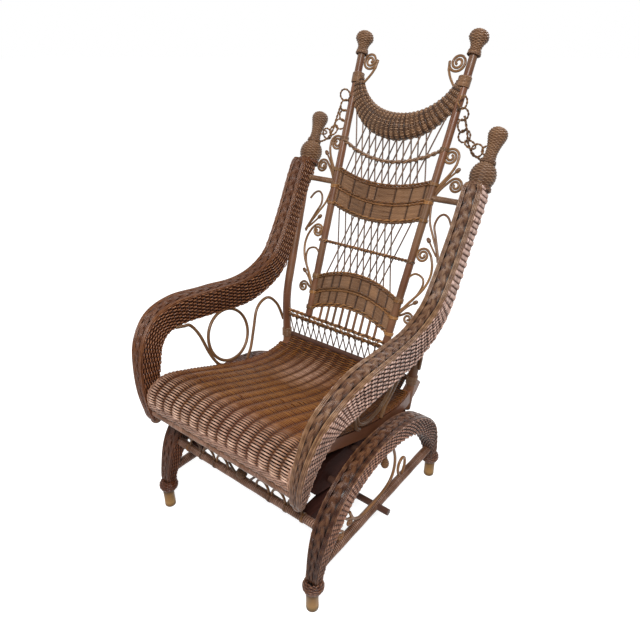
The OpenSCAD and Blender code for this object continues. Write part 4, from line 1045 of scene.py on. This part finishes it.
rope = {"s": 528.0, "mid": 478.0, "out": 8.0, "twist": (3.1, 3.3, 36.0), "rodS": 220.0, "rodReed": 3.4,
        "rodTwist": (3.6, 2.1, 21.0)}
arc, rod = Bundle(), Bundle()
reach = postX(rope["s"])
x = np.linspace(-reach, reach, 60)
line = inBack(x, rope["mid"] + (rope["s"] - rope["mid"]) * (x / reach) ** 2, rope["out"])
twine(arc, line, backOut, rope["twist"], dip=0.12)
arc.build("ropeArc", "backWeave", "chair", "rope_arc", "wicker_dark")

reach = postX(rope["rodS"]) + 12
line = inBack(np.linspace(-reach, reach, 40), rope["rodS"], rope["out"])
# core reed under the twine, dark with painted shade
rod.reeds(line, backOut, rope["rodReed"], 8, dip=0.7, tone=0.1)
twine(rod, line, backOut, rope["rodTwist"])
rod.build("twistedRod", "ropeReed", "chair", "twisted_rod", "wicker_dark")


# Lattices, spindles and rails

lattice = {"slope": 0.26, "pitch": 23.22, "sink": 5.0, "reed": 2.15, "sway": 1.4}


def crescentUnder(x):
    t = np.minimum(np.abs(x) / postX(crescent["horn"]), 0.96)
    return crescent["horn"] + 4 - (crescent["sag"] + crescent["mid"]) * np.sqrt(1 - t ** 2.2)


def leaningReeds(bundle, lean, middle, lowEdge, highAt, highMid):
    slope = lean * lattice["slope"]
    for i in range(-6, 7):
        x = i * lattice["pitch"] + lean * 2
        low = bowed(x + slope * (lowEdge[1] - middle), *lowEdge) - lattice["sink"]
        high = highAt(x + slope * (highMid - middle)) + lattice["sink"]
        lowX, highX = x + slope * (low - middle), x + slope * (high - middle)
        if all(abs(x) < postX(s) - backPlane["postRadius"] + 3 for x, s in ((lowX, low), (highX, high))):
            t = np.linspace(0, 1, 14)
            sway = lattice["sway"] * np.sin(t * math.pi) * math.sin(3.1 * i + lean)
            line = inBack(lowX + (highX - lowX) * t + sway, low + (high - low) * t,
                          lean * (lattice["reed"] + 0.05))
            bundle.reeds(line, backOut, lattice["reed"], 7, dip=0.15)


upperLattice, middleLattice, spindles, rails, lowerLattice = (Bundle() for _ in range(5))
upperLow, upperTop, lowerTop = panels["upper"]["low"], panels["upper"]["top"], panels["lower"]["top"]
crownS = crescent["horn"] - crescent["sag"]
for lean in (-1, 1):
    leaningReeds(upperLattice, lean, (upperTop[1] + crownS) / 2 + 10, upperTop,
                 lambda x: crescentUnder(x) + 6, crownS)
    leaningReeds(middleLattice, lean, (upperLow[1] + lowerTop[0]) / 2, lowerTop,
                 lambda x: bowed(x, *upperLow), upperLow[1])
upperLattice.build("upperLattice", "latticeReed", "chair", "upper_lattice", "reed_brown")
middleLattice.build("middleLattice", "latticeReed", "chair", "middle_lattice", "reed_brown")

for x in np.arange(-4, 5) * 25.0:
    top = bowed(x, *panels["lower"]["low"]) + 4
    rodOf(spindles, inBack([x, x], [-17, top]), 4.0, backOut, 10, 0.03, 4.0, tone=random.random())
spindles.build("spindles", "postWood", "chair", "spindles", "red_wood")

backRail = {"half": 237.0, "y": 508.0, "core": 4.0, "pitch": 25.0, "reed": 1.5,
            "twists": ((457.0, (4.1, 2.9, 34.0)), (473.0, (4.1, 2.6, 34.0))),
            "zigzag": ((-5, 501.5, 455), (0, 500.6, 465), (5, 501.5, 475))}
for z, twist in backRail["twists"]:
    line = [(-backRail["half"], backRail["y"], z), (backRail["half"], backRail["y"], z)]
    # core rod under the twine, darker with painted shade
    rails.reeds(evenly(line, 10.0)[0], zWay, backRail["core"], 10, dip=0.6)
    twine(rails, line, zWay, twist)
for i in range(-9, 10):
    for lean in (-1, 1):
        line = [((i + 0.5) * backRail["pitch"] + lean * x, y, z) for x, y, z in backRail["zigzag"]]
        rails.reeds(line, yWay, backRail["reed"], dip=0.2)
rails.build("backRails", "ropeReed", "chair", "back_rails", "wicker_dark")

lowReed = {"pitch": 23.0, "lean": 9.0, "low": 388.0, "high": 455.0, "radius": 1.9}
t = np.linspace(0, 1, 8)
for lean in (-1, 1):
    for i in range(-9, 10):
        x = i * lowReed["pitch"] + lean * 5 + lean * lowReed["lean"] * (2 * t - 1)
        x += 0.8 * np.sin(t * math.pi + i)
        line = np.stack([x, np.full(len(t), backRail["y"] + lean * lowReed["radius"]),
                         lowReed["low"] + (lowReed["high"] - lowReed["low"]) * t], 1)
        lowerLattice.reeds(line, yWay, lowReed["radius"], 7, dip=0.15)
lowerLattice.build("lowerLattice", "latticeReed", "chair", "lower_lattice", "reed_brown")


# Scrolls beside and above the back

def flatReed(bundle, points, radius, steps=6):
    line = through(points, steps)
    line = evenly(np.column_stack([line, np.zeros(len(line))]), 2.4)[0]
    bundle.reeds(inBack(line[:, 0], line[:, 1]), backOut, radius, 10, tone=0.3 + 0.5 * random.random(),
                 dip=0.15)


# each spiral: centre, radius of its eye and rim, turns and last angle, then its tail
sideScroll = {"reed": 3.6, "spirals": [
    ((188, 514), 5, 23, -2.2, 0, [(210, 497), (201, 474), (181, 442), (168, 416)]),
    ((222, 441), 4, 20, 2, 135, [(199, 446), (184, 428), (172, 408)]),
    ((183, 245), 4, 20, -2, 45, [(207, 248), (218, 222), (220, 190), (208, 152), (180, 112), (158, 78)]),
    ((188, 66), 3, 17, 1.7, 135, [(168, 72), (156, 66)])],
    "pinReed": 3.2, "pins": [
        [(168, 390), (177, 339), (198, 300), (220, 262), (230, 236)],
        [(232, 240), (206, 300), (194, 328), (198, 352), (211, 363), (227, 357), (240, 338)],
        [(160, 84), (190, 124), (205, 160), (201, 184), (178, 192), (162, 182), (156, 168)]],
    "budReed": 2.8, "budRods": [
        [(168, 414), (196, 455), (214, 477)], [(222, 250), (204, 270), (192, 284)],
        [(158, 72), (178, 98), (194, 112)]],
    "bud": [(0.3, 0), (4.2, 1), (5.8, 5), (5.6, 10), (4.0, 14.5), (0.3, 16.5)]}
topScroll, scrolls = Bundle(), Bundle()
s = crescent["horn"] + 50
x = postX(s) - 37
tail = through([(x - 22, s - 18), (x - 12, s - 38), (x + 6, s - 62)], 5)
flatReed(topScroll, np.concatenate([spiral((x, s), 5, 25, -2.2, -190), tail]), sideScroll["reed"], 2)
topScroll.buildSides("topScroll", "scrollReed", "chair", "top_scrolls", "reed_brown")

for *shape, tail in sideScroll["spirals"]:
    flatReed(scrolls, np.concatenate([spiral(*shape), through(tail, 5)]), sideScroll["reed"], 2)
for points in sideScroll["pins"]:
    flatReed(scrolls, points, sideScroll["pinReed"])
for points in sideScroll["budRods"]:
    flatReed(scrolls, points, sideScroll["budReed"])
    end = np.array(points[-1], float)
    aim = unit(end - points[-2])
    turned(scrolls, through(sideScroll["bud"], 5),
           axisFrame(inBack(*(end - aim * 2)), inBack(*(end + aim)) - inBack(*end)), 14, 0.4)
scrolls.buildSides("sideScrolls", "scrollReed", "chair", "side_scrolls", "reed_brown")


# Ring chains

chain = {"ring": 16.0, "pitch": 26.1, "lean": 0.6, "twist": (1.3, 1.75, 19.0),
         "line": [(188, 742, 1104), (190, 745, 1064), (197, 742, 1030), (220, 736, 1006), (247, 732, 990),
                  (272, 738, 992), (286, 746, 1000)],
         "festoon": [(200, 735, 1072), (214, 732, 1032), (222, 728, 1005), (240, 728, 980), (262, 730, 968),
                     (284, 734, 962)], "festoonTwist": (1.6, 1.9, 22.0)}
chainLine = through(chain["line"], 12)
# a ring wherever the line is a pitch away from the last one
spots = [0]
for k, point in enumerate(chainLine):
    if np.linalg.norm(point - chainLine[spots[-1]]) >= chain["pitch"]:
        spots.append(k)


def hangChain(face):
    # rings that lean to and fro on the line, and a twisted reed that hangs below them
    links = Bundle()
    for i, spot in enumerate(spots):
        h = unit(chainLine[min(spot + 1, len(chainLine) - 1)] - chainLine[max(spot - 1, 0)])
        e = unit(face - np.dot(face, h) * h)
        normal = unit(e + (chain["lean"] if i % 2 else -chain["lean"]) * np.cross(h, e))
        ring = fan(np.linspace(0, fullTurn, 44), h, np.cross(normal, h))
        twine(links, chainLine[spot] + chain["ring"] * ring, normal, chain["twist"], i)
    twine(links, through(chain["festoon"], 8), yWay, chain["festoonTwist"])
    return links


# both face the photo's side, so the left one isn't the right one mirrored
rightChain, leftChain = (hangChain(np.array([x, -0.7, 0.45])) for x in (0.55, -0.55))
rightChain.build("ringChain_right", "scrollReed", "chair", "ring_chain_right", "reed_brown")
leftChain.mirrored().build("ringChain_left", "scrollReed", "chair", "ring_chain_left", "reed_brown")


# Reeds under the arms

underArm = {"reed": 4.7, "x": 244.8, "splay": 0.2, "ring": 76.0, "ringY": 272.0,
            "loop": [(104, armZ - 60), (130, armZ - 66), (150, armZ - 72), (172, 508), (190, 446),
                     (209, 406), (226, seat["lowShadeZ"] + 35)],
            "rear": [(326, seat["lowShadeZ"] + 10), (352, 412), (374, 455), (398, 500), (428, 520), (462, 520),
                     (492, 486), (506, 432)]}
sideReeds = Bundle()
a = np.radians(np.arange(37) * 10 - 56)
ring = np.stack([underArm["ringY"] + underArm["ring"] * np.cos(a),
                 armZ - 71 - underArm["ring"] + underArm["ring"] * np.sin(a)], 1)
for points in (through(underArm["loop"], 8), ring, through(underArm["rear"], 8)):
    x = underArm["x"] + underArm["splay"] * np.maximum(points[:, 1] - seat["lowShadeZ"] - 40, 0)
    line = evenly(through(np.column_stack([x, points]), 2), 3.0)[0]
    sideReeds.reeds(line, xWay, underArm["reed"], 10, dip=0.1)
sideReeds.buildSides("sideReeds", "scrollReed", "chair", "side_reeds", "reed_brown")


# Cane ties on the posts

postTie = {"at": (60, 112, 220, 338, 392, 436, 530), "tie": (12.4, 1.6, 2.6, 3.2), "rearAt": 96,
           "rearTie": (14.4, 1.9, 7.4, 3.7)}
ties = Bundle()
for s in postTie["at"]:
    tieRound(ties, inBack(postX(s), s), postWay, postTie["tie"])
tieRound(ties, posts["foot"] + footWay * postTie["rearAt"], footWay, postTie["rearTie"])
ties.both().build("postTies", "backWeave", "chair", "post_wraps", "wicker")


# Springs and carried over boards

spring = {"y": 300.0, "spread": 62.0, "radius": 9.0, "wire": 1.5, "turns": 5}
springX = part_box("springs_front")[1].x * 1000 - spring["radius"] - spring["wire"]
for name, node, sign in (("springsFront", "springs_front", -1), ("springsRear", "springs_rear", 1)):
    low, high = (corner.z * 1000 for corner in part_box(node))
    t = np.linspace(0, 1, spring["turns"] * 28 + 1)
    a = fullTurn * spring["turns"] * t
    line = np.stack([springX + spring["radius"] * np.cos(a),
                     spring["y"] + sign * spring["spread"] + spring["radius"] * np.sin(a),
                     low + spring["wire"] + (high - low - 2 * spring["wire"]) * t], 1)
    coil = Bundle()
    coil.reeds(line, zWay, spring["wire"], 8)
    piece = coil.both().build(name, "iron", None, node, "iron")
    y = (spring["y"] + shiftY) * 0.001
    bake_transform(piece)

carried = {"platform_rails": "darkBoard", "runner_left": "darkBoard", "runner_right": "darkBoard",
           "runner_bars": "darkBar", "side_rail_left": "redBoard", "side_rail_right": "redBoard",
           "seat_rear_rail": "darkBar", "cross_stretcher": "darkBar", "spring_plates_low": "iron",
           "spring_plates_top": "iron"}
for name, finish in carried.items():
    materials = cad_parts[name].data.materials
    materials.clear()
    materials.append(finishes[finish])
print("all pieces made")


# Floor, lights and camera

view = {"at": (833.5, -678.4, 1238.0), "azimuth": 38.204, "elevation": 26.844, "roll": -0.048,
        "focal": 544.49, "pixels": 640, "sensor": 36.0}
cameraData = bpy.data.cameras.new("camera")
cameraData.sensor_width = view["sensor"]
cameraData.lens = view["focal"] / view["pixels"] * view["sensor"]
cameraData.clip_start, cameraData.clip_end = 0.05, 60
camera = addObject("camera", cameraData)
azimuth, elevation, roll = (math.radians(view[key]) for key in ("azimuth", "elevation", "roll"))
back = np.array([math.sin(azimuth) * math.cos(elevation), -math.cos(azimuth) * math.cos(elevation),
                 math.sin(elevation)])
right = np.array([math.cos(azimuth), math.sin(azimuth), 0])
up = np.cross(back, right)
right, up = math.cos(roll) * right + math.sin(roll) * up, math.cos(roll) * up - math.sin(roll) * right
place = (np.array(view["at"]) + [0, shiftY, 0]) * 0.001
camera.matrix_world = Matrix([*np.column_stack([right, up, back, place]).tolist(), [0, 0, 0, 1]])
bpy.context.scene.camera = camera

studio = {"half": 60, "floor": 0.5, "floorGlow": 0.8, "light": 0.3, "lampAim": (0, 0, 0.6)}
floorMesh = bpy.data.meshes.new("floor")
corners = [(studio["half"] * x, studio["half"] * y, 0) for x, y in ((-1, -1), (1, -1), (1, 1), (-1, 1))]
floorMesh.from_pydata(corners, [], [(0, 1, 2, 3)])
floor = addObject("floor", floorMesh)
n = Nodes(bpy.data.materials.new("floor"))
n.feed(n.shader, {"Base Color": grey(studio["floor"]), "Roughness": 0.9})
glow = n.new("Emission", {"Color": grey(1.0), "Strength": n.times(n.seen(), studio["floorGlow"])})
together = n.new("AddShader", {0: n.shader.outputs[0], 1: glow.outputs[0]})
n.feed(n.tree.nodes["Material Output"], {"Surface": together.outputs[0]})
floorMesh.materials.append(n.owner)

n = Nodes(bpy.data.worlds.new("studio"))
level = n.range(n.seen(), (0.0, 1.0), studio["light"], 1.0)
n.feed(n.tree.nodes["Background"], {"Color": grey(1.0), "Strength": level})
bpy.context.scene.world = n.owner

lamps = {"key": {"at": (1.3, -1.7, 2.7), "size": 0.7, "power": 108, "colour": (1.0, 0.97, 0.96)},
         "side": {"at": (-2.2, -1.0, 2.0), "size": 1.0, "power": 20, "colour": (1.0, 0.94, 0.86)},
         "rear": {"at": (0.6, 2.2, 2.6), "size": 0.8, "power": 46, "colour": (0.95, 0.96, 1.0)}}
for name, s in lamps.items():
    lamp = bpy.data.lights.new(name, "AREA")
    lamp.size, lamp.energy, lamp.color = s["size"], s["power"], s["colour"]
    holder = addObject(name, lamp)
    holder.location = s["at"]
    holder.rotation_mode = "QUATERNION"
    holder.rotation_quaternion = (Vector(studio["lampAim"]) - holder.location).to_track_quat("-Z", "Y")

bpy.context.scene.view_settings.view_transform = "Standard"
print("studio ready")
